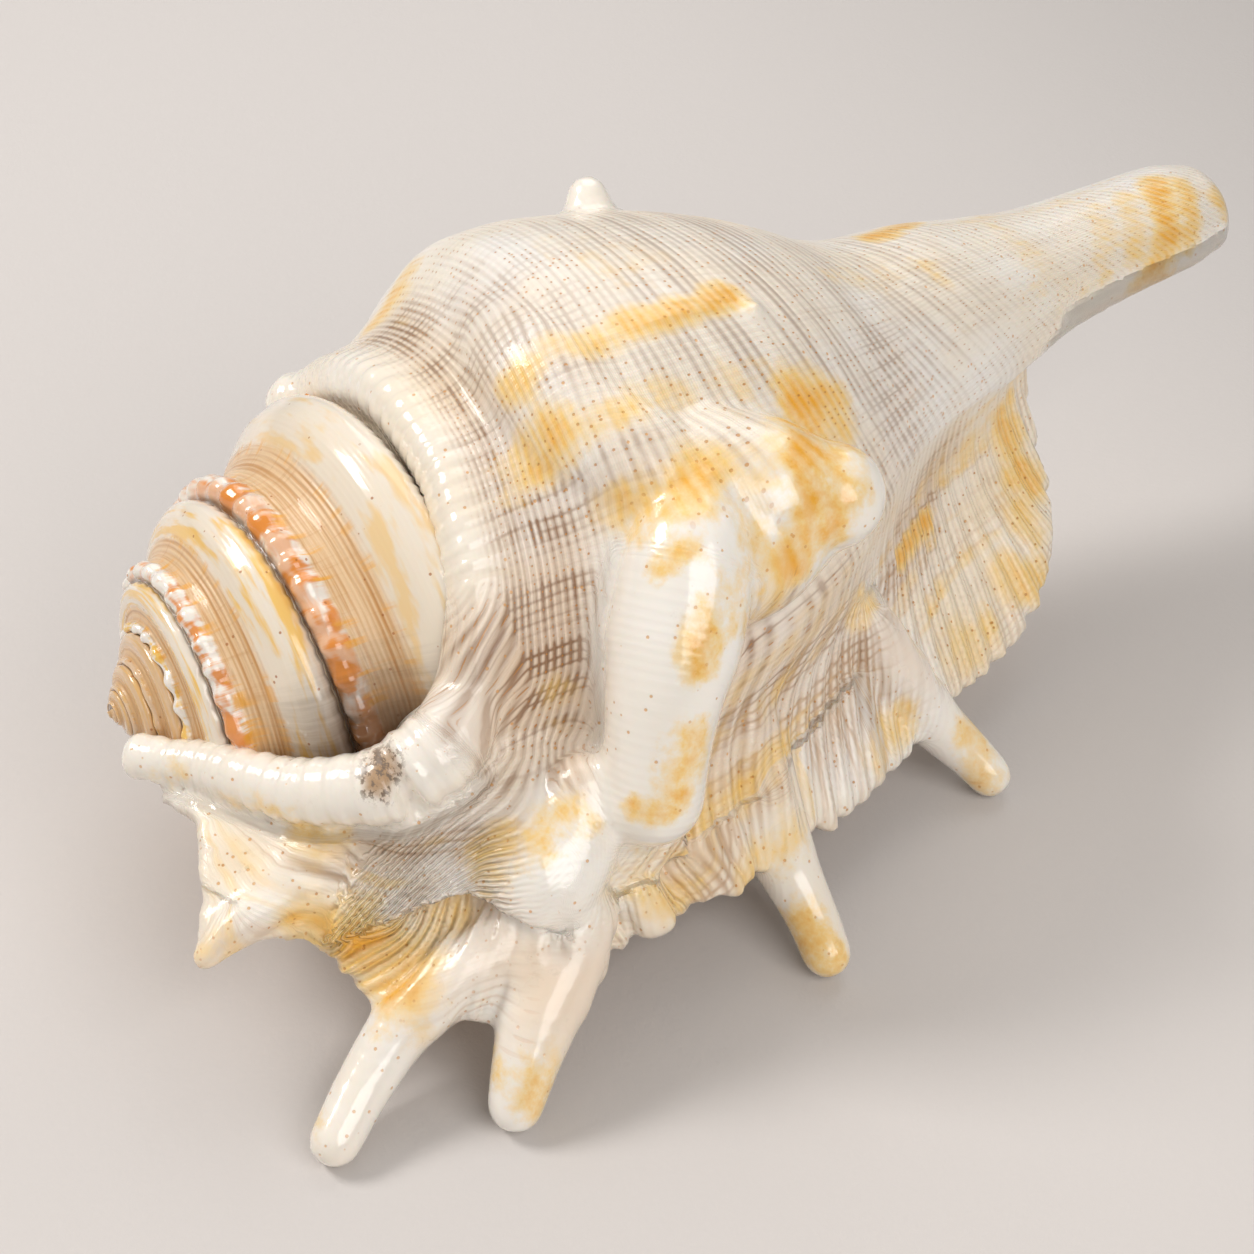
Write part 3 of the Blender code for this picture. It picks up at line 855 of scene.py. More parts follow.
@dataclass(frozen=True)
class Limb:
    """A round-ended rod along a smooth path: a finger, a knob or a ridge.

    Attributes:
        points: Places along it, each with its radius.
        polish: How smooth and glossy it is worn.
        from_root: Share of its length after which the polish is full.
    """

    points: Points
    polish: float = 0.0
    from_root: float = 0.0

    def path(self, count: int) -> tuple[np.ndarray, np.ndarray]:
        """Centres and radii at even steps along the limb."""
        *axes, radius = eases(self.points)
        at = np.linspace(0, len(self.points) - 1, count)
        return np.stack([f(at) for f in axes], -1), radius(at)

    def form(self) -> Form:
        """The closed rod."""
        centre, radius = self.path(30)
        tangent = unit(np.gradient(centre, axis=0))
        side = unit(np.cross(tangent, [0.1, 0.9, 0.3]))
        other = np.cross(tangent, side)
        turn = np.linspace(0, 2 * np.pi, 40, endpoint=False)

        def ring(i: int, dip: float) -> np.ndarray:
            """Ring number i, or one on the round end beyond it, dipped by an angle."""
            reach = radius[i] * np.sin(np.radians(dip)) * (1 if i else -1)
            across = np.outer(np.cos(turn), side[i]) + np.outer(np.sin(turn), other[i])
            return centre[i] + tangent[i] * reach + radius[i] * np.cos(np.radians(dip)) * across

        rings = [ring(0, dip) for dip in (84, 70, 52, 34, 16)]
        rings += [ring(i, 0) for i in range(len(radius))]
        rings += [ring(-1, dip) for dip in (15, 30, 45, 60, 74, 84)]
        return Form.tube(np.array(rings))

    def nearest(self, places: np.ndarray) -> tuple[np.ndarray, np.ndarray, np.ndarray, np.ndarray]:
        """Where places lie along the limb.

        Args:
            places: Places around the limb.

        Returns:
            Which of them are near it, and for those the distance from its side, the share of its
            length and the run along it.
        """
        centre, radius = self.path(40)
        tangent = unit(np.gradient(centre, axis=0))
        run = np.concatenate([[0], np.cumsum(np.linalg.norm(np.diff(centre, axis=0), axis=1))])
        box = radius.max() + 6
        around = np.all((places > centre.min(0) - box) & (places < centre.max(0) + box), axis=1)
        away = places[around][:, None] - centre[None]
        apart = np.linalg.norm(away, axis=2) - radius[None]
        best = apart.argmin(1)
        pick = np.arange(len(best))
        beyond = (away[pick, best] * tangent[best]).sum(1)
        return around, apart[pick, best], best / (len(centre) - 1), run[best] + beyond

    def closeness(self, places: np.ndarray) -> np.ndarray:
        """How fully places belong to the worn part of the limb, from 0 to its polish."""
        around, gap, share, _ = self.nearest(places)
        near = np.zeros(len(places))
        worn = smoothstep(self.from_root - 0.25, self.from_root + 0.15, share)
        near[around] = self.polish * smoothstep(4.0, 0.8, gap) * worn
        return near


class Tint(Enum):
    """Kinds of colour that lie in patches on the shell."""

    AMBER = "amber"
    TAN = "tan"
    GREY = "grey"
    DIRT = "dirt"


@dataclass(frozen=True)
class Stain:
    """A soft patch of colour around a line of places."""

    tint: Tint
    line: Sequence[Triple]
    reach: float
    strength: float

    def cover(self, places: np.ndarray) -> np.ndarray:
        """How strongly the stain colours places."""
        line = np.array(self.line, float)
        apart = np.linalg.norm(places - line[0], axis=1)
        for a, b in zip(line[:-1], line[1:]):
            t = np.clip((places - a) @ (b - a) / ((b - a) @ (b - a)), 0, 1)
            apart = np.minimum(apart, np.linalg.norm(places - a - t[:, None] * (b - a), axis=1))
        return self.strength * smoothstep(2.3, 0.2, apart / self.reach)


def stains(tint: Tint, *rows: tuple) -> list[Stain]:
    """Stains of one colour, each from its reach, its strength and the places along it."""
    return [Stain(tint, row[2:], row[0], row[1]) for row in rows]


STAINS = (
    *stains(
        Tint.AMBER,
        (4.6, 0.85, (-34, 73, 92), (-32, 71, 91), (-31, 68, 89)),
        (2.8, 1.0, (15, 114, 104), (17, 105, 106), (18, 98, 106), (18, 92, 107)),
        (3.0, 0.62, (19, 89, 106), (20, 83, 106), (19, 78, 107)),
        (3.2, 0.75, (20, 72, 104), (20, 70, 102)),
        (4.4, 0.8, (30, 72, 97), (28, 70, 92)),
        (3.2, 0.5, (32, 75, 99), (33, 80, 101), (32, 87, 100), (30, 95, 99)),
        (4.6, 0.6, (42, 80, 88), (49, 80, 88)),
        (5.0, 0.78, (46, 92, 93), (48, 88, 92), (46, 83, 90)),
        (3.0, 0.7, (57, 83, 88), (56, 79, 86)),
        (4.4, 1.0, (31, 118, 91), (30, 123, 89), (31, 127, 85)),
        (6.4, 0.95, (33, 120, 87), (47, 112, 92), (52, 111, 89)),
        (5.0, 1.0, (53, 110, 88), (56, 108, 82), (57, 104, 79)),
        (8.0, 0.5, (52, 101, 89), (57, 100, 80), (59, 98, 73)),
        (3.4, 0.75, (66, 82, 76), (67, 80, 73)),
        (3.4, 0.55, (63, 86, 81), (65, 84, 77)),
        (4.0, 0.7, (71, 76, 59), (72, 74, 55)),
        (1.9, 0.85, (70, 66, 49), (72, 69, 48), (73, 73, 49), (73, 74, 51)),
        (3.0, 0.3, (49, 63, 60), (51, 63, 55)),
        (2.8, 1.0, (-14, 162, 88), (-16, 167, 87), (-19, 173, 85)),
        (3.0, 0.35, (-1, 167, 87), (3, 167, 85)),
        (3.2, 1.0, (-16, 231, 80), (-11, 229, 77), (-7, 228, 73), (-5, 224, 68)),
        (2.6, 0.75, (-15, 236, 79), (-10, 235, 76), (-7, 233, 71)),
        (3.0, 0.85, (-12, 245, 74)),
        (2.8, 0.5, (-14, 222, 80), (-9, 221, 77), (-5, 218, 73)),
        (2.8, 0.45, (-15, 214, 80), (-8, 213, 77), (-4, 210, 73)),
        (3.4, 0.75, (-4, 220, 65), (-5, 227, 65)),
        (3.4, 0.3, (-11, 190, 83), (-6, 193, 80), (1, 190, 76)),
        (4.0, 0.8, (2, 184, 50), (3, 186, 44)),
        (4.0, 0.85, (6, 187, 38), (8, 190, 35)),
        (4.0, 0.7, (11, 184, 32), (13, 186, 28)),
        (4.4, 0.8, (19, 178, 23), (19, 184, 20)),
        (4.4, 0.6, (30, 158, 20), (27, 167, 19)),
        (2.4, 0.95, (14, 160, 40), (18, 154, 40), (21, 149, 40)),
        (2.8, 0.6, (36, 131, 46), (38, 128, 44)),
        (3.6, 0.75, (47, 151, 14), (50, 152, 9), (53, 153, 5)),
        (3.6, 0.7, (72, 98, 10), (77, 98, 7), (80, 100, 5)),
        (4.0, 0.5, (44, 137, 21), (48, 129, 20)),
        (4.4, 0.55, (66, 93, 20), (63, 101, 23)),
        (3.4, 0.4, (56, 95, 37), (59, 93, 31)),
        (3.6, 0.65, (65, 51, 45), (65, 54, 46), (65, 57, 47)),
        (4.0, 0.55, (63, 42, 40), (64, 46, 44)),
        (4.0, 0.5, (42, 18, 43), (45, 20, 41)),
        (4.4, 0.75, (50, 14, 29), (54, 17, 28)),
        (6.0, 0.95, (57, 21, 27), (59, 24, 24), (65, 25, 23)),
        (4.4, 0.5, (58, 31, 28), (58, 37, 30)),
        (4.0, 0.45, (50, -3, 30), (51, -1, 28)),
        (3.4, 0.65, (78, 35, 11)),
        (4.2, 0.75, (85, 42, 12), (86, 40, 8)),
        (3.4, 0.3, (73, 5, 8)),
        (4.0, 0.6, (69, 70, 29), (68, 75, 23)),
        (4.0, 0.35, (66, 69, 33), (67, 63, 32)),
        (3.0, 0.45, (20, 3, 44)),
        (3.0, 0.35, (32, 10, 44), (38, 13, 46)),
    ),
    *stains(
        Tint.TAN,
        (7.0, 0.8, (-19, 61, 91), (-2, 60, 94)),
        (6.0, 0.7, (-16, 63, 93), (0, 63, 95)),
        (8.0, 1.0, (5, 59, 94), (15, 60, 93), (25, 60, 89), (34, 59, 83), (41, 57, 76)),
        (7.0, 0.8, (30, 65, 87), (38, 65, 79), (44, 64, 71)),
        (8.0, 1.0, (41, 57, 76), (46, 55, 67), (48, 53, 61), (54, 46, 58)),
        (8.0, 1.0, (44, 65, 71), (50, 66, 61), (55, 66, 52)),
        (7.0, 0.85, (55, 45, 56), (55, 38, 51), (54, 30, 49), (48, 24, 46)),
        (5.0, 0.95, (60, 61, 52), (63, 58, 49), (64, 55, 47)),
        (5.0, 0.7, (59, 52, 48), (61, 46, 45), (60, 41, 42)),
        (7.0, 0.75, (57, 96, 68), (54, 96, 54), (56, 91, 39)),
        (7.0, 0.65, (49, 110, 54), (49, 106, 42), (57, 98, 37)),
        (7.0, 0.5, (46, 117, 58), (39, 127, 38), (47, 118, 31)),
        (6.0, 0.75, (13, 161, 51), (16, 156, 42), (24, 145, 43)),
        (7.0, 0.5, (37, 134, 43), (41, 131, 31)),
        (6.0, 0.55, (71, 59, 37), (73, 51, 37), (69, 45, 30)),
        (6.0, 0.6, (62, 83, 30), (65, 80, 25)),
        (6.0, 0.4, (68, 42, 36), (61, 36, 37)),
        (6.0, 0.45, (35, 71, 86), (39, 76, 88), (42, 82, 93)),
        (7.0, 0.35, (-4, 73, 104), (13, 75, 107), (24, 77, 105)),
        (7.0, 0.35, (18, 146, 81), (25, 144, 72), (32, 138, 68)),
        (4.0, 0.5, (34, 11, 48), (41, 15, 47), (47, 20, 48)),
    ),
    *stains(
        Tint.GREY,
        (8.0, 0.95, (-13, 103, 107), (5, 105, 108), (18, 106, 105), (26, 110, 99)),
        (7.0, 1.0, (-16, 115, 104), (-4, 123, 104), (11, 125, 101), (22, 127, 94), (28, 129, 87)),
        (6.0, 0.6, (-4, 139, 96), (12, 140, 92), (22, 138, 85), (29, 135, 80)),
        (9.0, 0.75, (22, 99, 103), (24, 107, 101), (28, 113, 96)),
        (7.0, 0.55, (29, 98, 99), (35, 103, 96), (43, 100, 95)),
        (8.0, 0.6, (-7, 159, 89), (3, 159, 87), (10, 159, 81)),
        (8.0, 0.35, (-2, 94, 110), (7, 85, 109), (17, 86, 107)),
        (7.0, 0.35, (-5, 169, 87), (4, 170, 83)),
        (6.0, 0.35, (38, 77, 94), (40, 83, 97)),
    ),
    *stains(
        Tint.DIRT,
        (2.6, 1.0, (49, 31, 57), (52, 28, 56)),
    ),
)


LIP = (
    ((22, 8, 41), (21, 6, 41), (18, 2.5, 39), 0, 50, 45),
    ((30, 14, 42), (31, 13, 41), (28, 6.5, 40), 0, 52, 50),
    ((35, 22, 44), (38, 20, 42), (38, 3, 35.5), 0, 54, 55),
    ((40, 29, 47), (43, 27, 45), (46, -1, 30), 0, 56, 59.5),
    ((42, 36, 52), (47, 33, 48), (49, 14, 28), 0, 58.5, 66),
    ((42, 42, 57), (49, 39, 52), (54, 18, 26), 0, 61, 69), (58, 50, (61, 22, 20), 2, 64, 73),
    (62, 57, (68.5, 32, 18), 3, 68.5, 78), (67, 64, (74, 50, 16), 5, 74, 85),
    (75, 73, (67, 69, 20), 6, 79, 91), (86, 86, (68, 84, 20), 5, 87, 97),
    (104, 105, (60, 106, 18), 6, 105, 106), (116, 120, (53, 122, 16), 7, 120, 120),
    (130, 136, (43, 142, 17), 9, 136, 136), (142, 149, (33, 159, 16), 11, 149, 149),
    (152, 159, (27, 171, 15), 12, 159, 160), (160, 167, (21, 182.5, 18), 11, 167, 170),
    (168, 175, (12, 191.5, 27), 9, 175, 179), (176, 182, (1.5, 194, 37.5), 5, 182, 186),
    (184, 189, (-8.5, 196.5, 47), 2, 189, 192), (192, 195, (-12.5, 198, 55), 0, 195, 197),
)
LEDGE = (
    ((42, 36, 52), (45.5, 34, 48.5), (55, 15.5, 28), 0, 58.5, 66),
    ((42, 42, 57), (49, 38, 52), (58, 24, 31), -1, 60, 70),
    (54, 43, (60.8, 32.5, 34.5), -2, 61.5, 73), (57, 48, (63, 38.5, 36), -4, 63, 75.5),
    (60, 52, (69, 42.3, 34.5), -6, 64.5, 78), (62, 55, (73, 47.2, 32.5), -8, 66, 80.5),
    (65, 58, (71, 54, 30.5), -8, 68, 83), (69, 62, (66.3, 61, 29.5), -7, 71.5, 86),
    (73, 68, (66.8, 69, 29), -5, 75.5, 89), (79, 76, (65, 79.5, 29), -3, 81, 93),
)
LIMBS = {
    "rear_spur": Limb(((36, 54, 63, 5), (43, 48.5, 60, 6), (48.5, 41, 55.5, 7.4),
                       (48.5, 33, 52, 7), (43.5, 25.2, 49.3, 5.9), (37.3, 19, 47, 5.5),
                       (30, 14, 46, 4.9), (21.5, 9, 44.5, 4.4), (16, 4, 43.5, 3.8),
                       (13, 1.3, 43, 4.4)), 0.8, 0.2),
    "finger_1": Limb(((46, 12, 32, 3.8), (46.8, 5, 31, 4.2), (47.6, 0, 29.5, 3.4),
                      (48.6, -3, 28.2, 2.6)), 0.35, 0.5),
    "finger_2": Limb(((64, 47, 26, 6), (65.5, 37, 22, 6.4), (66.4, 25, 16, 5.7),
                      (70, 15.5, 9.6, 5), (75.4, 7, 4.3, 4.5)), 0.95, 0.5),
    "finger_3": Limb(((68.5, 57, 27, 6), (72, 51, 20.5, 7.2), (76, 44.5, 15, 6.8),
                      (80, 39.7, 9.6, 5.7), (82.5, 36.8, 4.8, 4.9)), 0.95, 0.6),
    "web": Limb(((65, 50, 26, 7), (69.5, 46.5, 20.5, 7.2), (70, 41.5, 17, 5.2)), 0.0, 0.0),
    "finger_4": Limb(((43, 99, 49, 6), (47.4, 98, 39, 7.4), (52, 98.6, 29, 7.8),
                      (58, 100, 19.5, 6.8), (63.5, 101.5, 12.8, 5.6), (70, 102, 8, 4.8),
                      (76, 101.6, 4.4, 4.5)), 0.95, 0.55),
    "finger_5": Limb(((29.5, 130, 44, 6), (34, 132, 38, 6.8), (36.8, 137, 29.5, 6.6),
                      (39.5, 142.5, 20, 6), (42.5, 148, 12.3, 5.2), (46, 152, 7.3, 4.6),
                      (49, 154.2, 4.1, 4.3)), 0.95, 0.55),
    "knob_a": Limb(((43, 92, 86, 8), (50.5, 86.5, 79.5, 11.3), (56, 81, 70, 11.6),
                    (60.5, 76.5, 61.8, 10), (63, 74, 53.4, 9.1), (64.6, 72.2, 45.4, 9)), 1.0, 0.15),
    "saddle": Limb(((48, 88, 75, 11), (46, 99, 75, 12.5), (42.5, 108, 76, 12)), 0.2, 0),
    "knob_b": Limb(((36, 97, 83, 14), (42, 106, 81, 14), (46.5, 116.5, 80.5, 9.5)), 1.0, 0.5),
    "knob_c": Limb(((-25, 108, 92, 8), (-29, 109.5, 98, 5.5), (-31, 110, 101.5, 4)), 0.9, 0.4),
    "knob_d": Limb(((58.5, 62, 46, 6.5), (60.5, 59.5, 41, 8.4), (62.6, 56.5, 37.5, 9),
                    (65.5, 53, 34.5, 8.2)), 0.95, 0.1),
    "nodule": Limb(((65, 68, 26, 5), (68.5, 70.5, 21, 4)), 0.3, 0),
    "far_knob": Limb(((-28, 55, 66, 9), (-34, 51, 73, 5.5)), 0.9, 0),
    "crest": Limb(((-22, 84, 90, 11), (-4, 81, 95.5, 11.5), (12, 79, 96, 12.2),
                   (25, 81, 92, 11.5), (34, 87, 88, 11), (42, 93, 82, 10)), 0.15, 0),
    "back_ray": Limb(((18, 80, 102, 4.2), (17, 99, 103.2, 3.4), (14, 116, 100, 3)), 0.2, 0),
    "ledge_bead": Limb(((56, 37.5, 38, 3.2), (58.5, 38.5, 37.2, 3)), 0.5, 0),
    "pimple": Limb(((16, 117, 100.4, 2.4), (17.4, 117.4, 101.6, 1.6)), 0.8, 0),
}


@dataclass
class Skin:
    """Numbers per vertex of the fused skin, worked out from one form after the other.

    Attributes:
        mesh: The skin.
        whorl: The body whorl that its numbers start from.
        draw_rounds: Steps that draw numbers out over the skin between sure places.
        even_rounds: Steps that even out soft edges.
    """

    mesh: bpy.types.Mesh
    whorl: BodyWhorl
    draw_rounds: int = 260
    even_rounds: int = 8

    def __post_init__(self) -> None:
        """Number the skin as if the body whorl were all there is."""
        self.places = vertices(self.mesh)
        facing = np.empty(len(self.places) * 3)
        self.mesh.vertices.foreach_get("normal", facing)
        self.facing = facing.reshape(-1, 3)
        self.ends = edge_ends(self.mesh)
        self.degree = sum(np.bincount(end, minlength=len(self.places)) for end in self.ends)

        coil, away = self.whorl.coil, self.places[:, 1]
        angle = coil.angle(self.places)
        along = self.whorl.along(away, angle)
        gap = coil.radius(self.places) - self.whorl.reach(angle, along)
        self.cord, self.growth = self.whorl.cord(angle, along), angle * self.whorl.per_degree
        edge = 78 - 30 * smoothstep(68, 58, along)
        self.sure = smoothstep(3.0, 0.8, np.abs(gap)) * smoothstep(edge + 3, edge - 3, angle)
        self.sure_growth = self.sure.copy()
        under = smoothstep(-170, -190, angle) * smoothstep(190, 170, away)
        self.glaze = np.maximum(under, smoothstep(86, 94, angle) * smoothstep(3, 0, gap))
        self.wing = np.zeros(len(self.places))
        self.rim = smoothstep(65, 58, along) * smoothstep(-170, -120, angle)
        self.rim *= smoothstep(60, 46, angle)
        self.near_lip = ((self.places[:, 0] > -20) & (away < 206)
                         & ((angle > 30) | (angle < -150)))

    def follow_sheet(self, sheet: LipSheet, glazed_under: bool) -> None:
        """Number the skin over a sheet by the sheet's own pattern.

        Args:
            sheet: The sheet.
            glazed_under: Whether the skin on its inner side is glazed.
        """
        near = self.near_lip
        at = sheet.closest(self.places[near], self.facing[near])
        apart, fall, facing = at["apart"], at["fall"], at["facing"]
        on = smoothstep(2.4, 0.9, apart) * smoothstep(0.34, 0.42, fall)
        on *= smoothstep(0.0, 0.4, facing)
        beyond = smoothstep(0.97, 0.995, fall) * smoothstep(60, 50, apart)
        held = np.maximum(on, 0.02 * beyond)
        grown = at["growth"] + apart * beyond
        self.cord[near] += on * (at["cord"] - self.cord[near])
        self.growth[near] += smoothstep(0, 0.02, held) * (grown - self.growth[near])
        self.sure[near] = np.maximum(self.sure[near] * smoothstep(0.36, 0.3, fall), on)
        self.sure_growth[near] = np.maximum(self.sure_growth[near], held)
        close = smoothstep(8, 3, apart)
        self.wing[near] = np.maximum(self.wing[near], smoothstep(0.42, 0.8, fall) * close)
        outside = close * smoothstep(-0.1, 0.3, facing) * smoothstep(0.3, 0.4, fall)
        self.glaze[near] *= 1 - outside
        if glazed_under:
            under = smoothstep(11, 8, apart) * smoothstep(-0.1, -0.5, facing)
            under *= smoothstep(0.36, 0.45, fall)
            self.glaze[near] = np.maximum(self.glaze[near], under)

    def follow_limb(self, limb: Limb, reach: float, starts: Pair, first: float) -> np.ndarray:
        """Count the growth numbers on along a limb.

        Args:
            limb: The limb.
            reach: How far from its side the skin still follows it.
            starts: Runs along it between which it takes over.
            first: Growth number that its root would have.

        Returns:
            How fully each vertex follows the limb.
        """
        around, gap, _, run = limb.nearest(self.places)
        on = smoothstep(reach, 1.0, gap) * smoothstep(*starts, run)
        self.growth[around] += on * (run + first - self.growth[around])
        self.sure_growth[around] = np.maximum(self.sure_growth[around], on)
        follows = np.zeros(len(self.places))
        follows[around] = on
        return follows

    def beside(self, values: np.ndarray) -> np.ndarray:
        """Sum of the values of each vertex's neighbours."""
        a, b = self.ends
        return np.bincount(a, values[b], len(values)) + np.bincount(b, values[a], len(values))

    def drawn(self, values: np.ndarray, sure: np.ndarray) -> np.ndarray:
        """Values kept where they are sure and drawn out evenly over the skin between.

        Args:
            values: One number per vertex.
            sure: How sure each is, from 0 to 1.

        Returns:
            The evened numbers, by the conjugate-gradient method.
        """
        hold = 9.0 * sure**2 + 1e-5
        weight = self.degree + hold
        result = values.copy()
        rest = hold * values - (weight * result - self.beside(result))
        ahead = rest / weight
        power = rest @ ahead
        way = ahead.copy()
        for _ in range(self.draw_rounds):
            bent = weight * way - self.beside(way)
            step = power / (way @ bent)
            result += step * way
            rest -= step * bent
            ahead = rest / weight
            fresh = rest @ ahead
            way = ahead + (fresh / power) * way
            power = fresh
        return result

    def crowding(self, cord: np.ndarray) -> np.ndarray:
        """How many cords pass per millimetre at each vertex."""
        a, b = self.ends
        apart = np.linalg.norm(self.places[a] - self.places[b], axis=1)
        rate = np.abs(cord[a] - cord[b]) / apart
        most = np.zeros(len(cord))
        for end in self.ends:
            np.maximum.at(most, end, rate)
        return most

    def evened(self, values: np.ndarray) -> np.ndarray:
        """Values averaged with their neighbours."""
        for _ in range(self.even_rounds):
            values = 0.4 * values + 0.6 * self.beside(values) / np.maximum(self.degree, 1)
        return values


@dataclass
class GrownShell:
    """Body whorl, lip, ledge, fingers and knobs grown together into one skin."""

    whorl: BodyWhorl
    lip: LipSheet
    ledge: LipSheet
    ribs: MarginRibs
    limbs: dict[str, Limb] = field(default_factory=lambda: dict(LIMBS))
    stains: Sequence[Stain] = STAINS
    voxel: float = 1.08
    soften_rounds: int = 7
    rim_bead: float = 3.9
    rim_rise: float = 0.5
    wing_rise: float = 1.1
    spur_starts: Pair = (15.0, 21.0)
    spur_growth: float = 19.0
    knob_starts: Pair = (8.0, 14.0)
    knob_growth: float = 22.0
    crowded_from: Pair = (1.0, 1.5)

    def raw(self, material: bpy.types.Material) -> Form:
        """All the forms, still passing through each other."""
        ribs = self.ribs.build(material)
        faces = [tuple(p.vertices) for p in ribs.data.polygons]
        forms = [Form(vertices(ribs.data), faces), self.whorl.form(), self.lip.form(),
                 self.ledge.form()]
        forms += [limb.form() for limb in self.limbs.values()]
        bpy.data.objects.remove(ribs, do_unlink=True)
        return Form.joined(forms)

    def fused(self, material: bpy.types.Material) -> bpy.types.Object:
        """One closed skin around all the forms, worn flat where it rests."""
        piece = placed("grown_shell", self.raw(material).mesh("grown_shell"))
        fuse = piece.modifiers.new("fuse", "REMESH")
        fuse.mode, fuse.voxel_size = "VOXEL", self.voxel * MM
        soften = piece.modifiers.new("soften", "SMOOTH")
        soften.factor, soften.iterations = 0.5, self.soften_rounds
        settled(piece)
        flat = vertices(piece.data)
        flat[:, 2] = np.maximum(flat[:, 2], 0)
        piece.data.vertices.foreach_set("co", ((flat - ORIGIN) * MM).ravel())
        return piece

    def fields(self, mesh: bpy.types.Mesh) -> dict[str, np.ndarray]:
        """Numbers per vertex that the relief and the finish follow."""
        skin = Skin(mesh, self.whorl)
        skin.follow_sheet(self.lip, glazed_under=True)
        skin.follow_sheet(self.ledge, glazed_under=False)
        skin.follow_limb(self.limbs["knob_a"], 3.0, self.knob_starts, self.knob_growth)
        on_spur = skin.follow_limb(self.limbs["rear_spur"], 3.5, self.spur_starts,
                                   self.spur_growth)
        polish = np.max([limb.closeness(skin.places) for limb in self.limbs.values()], axis=0)
        cord = skin.drawn(skin.cord, skin.sure)
        crowded = 0.9 * smoothstep(*self.crowded_from, skin.crowding(cord))
        values = {"cord": cord, "growth": skin.drawn(skin.growth, skin.sure_growth),
                  "rib": self.whorl.rib_number(cord),
                  "glaze": skin.evened(skin.glaze * (1 - polish)),
                  "wing": skin.evened(skin.wing * (1 - skin.glaze)),
                  "rim": skin.evened(np.maximum(skin.rim, on_spur)),
                  "polish": skin.evened(np.maximum(polish, crowded))}
        for tint in Tint:
            covers = [s.cover(skin.places) for s in self.stains if s.tint is tint]
            values[tint.value] = np.max(covers, axis=0)
        return values

    def build(self, finish: "ShellFinish") -> bpy.types.Object:
        """Make the grown shell.

        Args:
            finish: How its surface looks.

        Returns:
            The finished piece.
        """
        material = finish.material()
        piece = self.fused(material)
        for name, values in self.fields(piece.data).items():
            store(piece.data, name, values)
        sizes = {"Rim Bead": self.rim_bead, "Rim Rise": self.rim_rise,
                 "Wing Rise": self.wing_rise}
        graph, mesh, inputs = geometry_tree("growth relief", sizes)
        cord, growth, rib, wing, rim, polish = (
            graph.attribute(k) for k in ("cord", "growth", "rib", "wing", "rim", "polish"))
        sway = finish.sway(graph, cord, growth)
        uneven = graph.noise(graph.vector(growth * 0.13, 0.0, 5.0), 1.0, 1.0) * 1.6
        bead = (graph.wave(growth / inputs["Rim Bead"] + sway * 4.0) - 0.5) * rim * uneven
        ridge = (graph.wave(rib) - 0.5) * wing
        rise = (bead * inputs["Rim Rise"] + ridge * inputs["Wing Rise"] * (1.0 - polish)) * MM
        piece = run_tree(piece, graph, graph.raised(mesh, rise), material, sizes)
        piece.data.shade_smooth()
        return piece


class ShellPattern:
    """Cords, growth lines and noises over the shell, which its colour and its relief share."""

    def __init__(self, g: Graph, finish: "ShellFinish") -> None:
        """Lay the pattern out from the numbers kept on the mesh.

        Args:
            g: The material's graph.
            finish: Spacings of the pattern.
        """
        self.cord, self.growth, self.polish, self.glaze, self.wing, self.rim = (
            g.attribute(k) for k in ("cord", "growth", "polish", "glaze", "wing", "rim"))
        self.amber, self.tan, self.grey, self.dirt = (g.attribute(t.value) for t in Tint)
        self.place = g.node("ShaderNodeTexCoord", out="Object")
        self.smooth = g.maths("MAXIMUM", self.polish, self.rim)
        self.bare = (1.0 - self.smooth) * (1.0 - self.glaze)
        self.front = self.wing * (1.0 - g.step(self.cord, 18.0, 34.0))

        self.sway = finish.sway(g, self.cord, self.growth)
        self.lines = self.growth / finish.growth_pitch
        self.at_cord = self.cord + self.sway * finish.cord_sway
        self.at_line = self.lines + self.sway * 3.0
        primary = g.wave(self.at_cord)
        self.thread = primary + self.wing * (g.wave(self.at_cord * 2.0 + 0.5) - primary)
        self.groove = (1.0 - self.thread) ** 1.3
        self.line = g.wave(self.at_line)

        cord, lines, at_cord, at_line = self.cord, self.lines, self.at_cord, self.at_line
        self.streak = g.noise(g.vector(at_cord * 0.55, lines * 0.035, 5.0), 1.0, 3.0, 0.6)
        self.shade = g.noise(g.vector(at_cord * 0.12, lines * 0.09, 2.0))
        self.band = g.noise(g.vector(at_line * 0.45, cord * 0.02, 9.0))
        self.rough = g.noise(g.vector(at_line * 1.1, cord * 0.35, 3.0))
        self.cloud = g.noise(self.place, 34.0)
        self.wisps = g.noise(self.place, 170.0, 4.0, 0.65) - 0.5


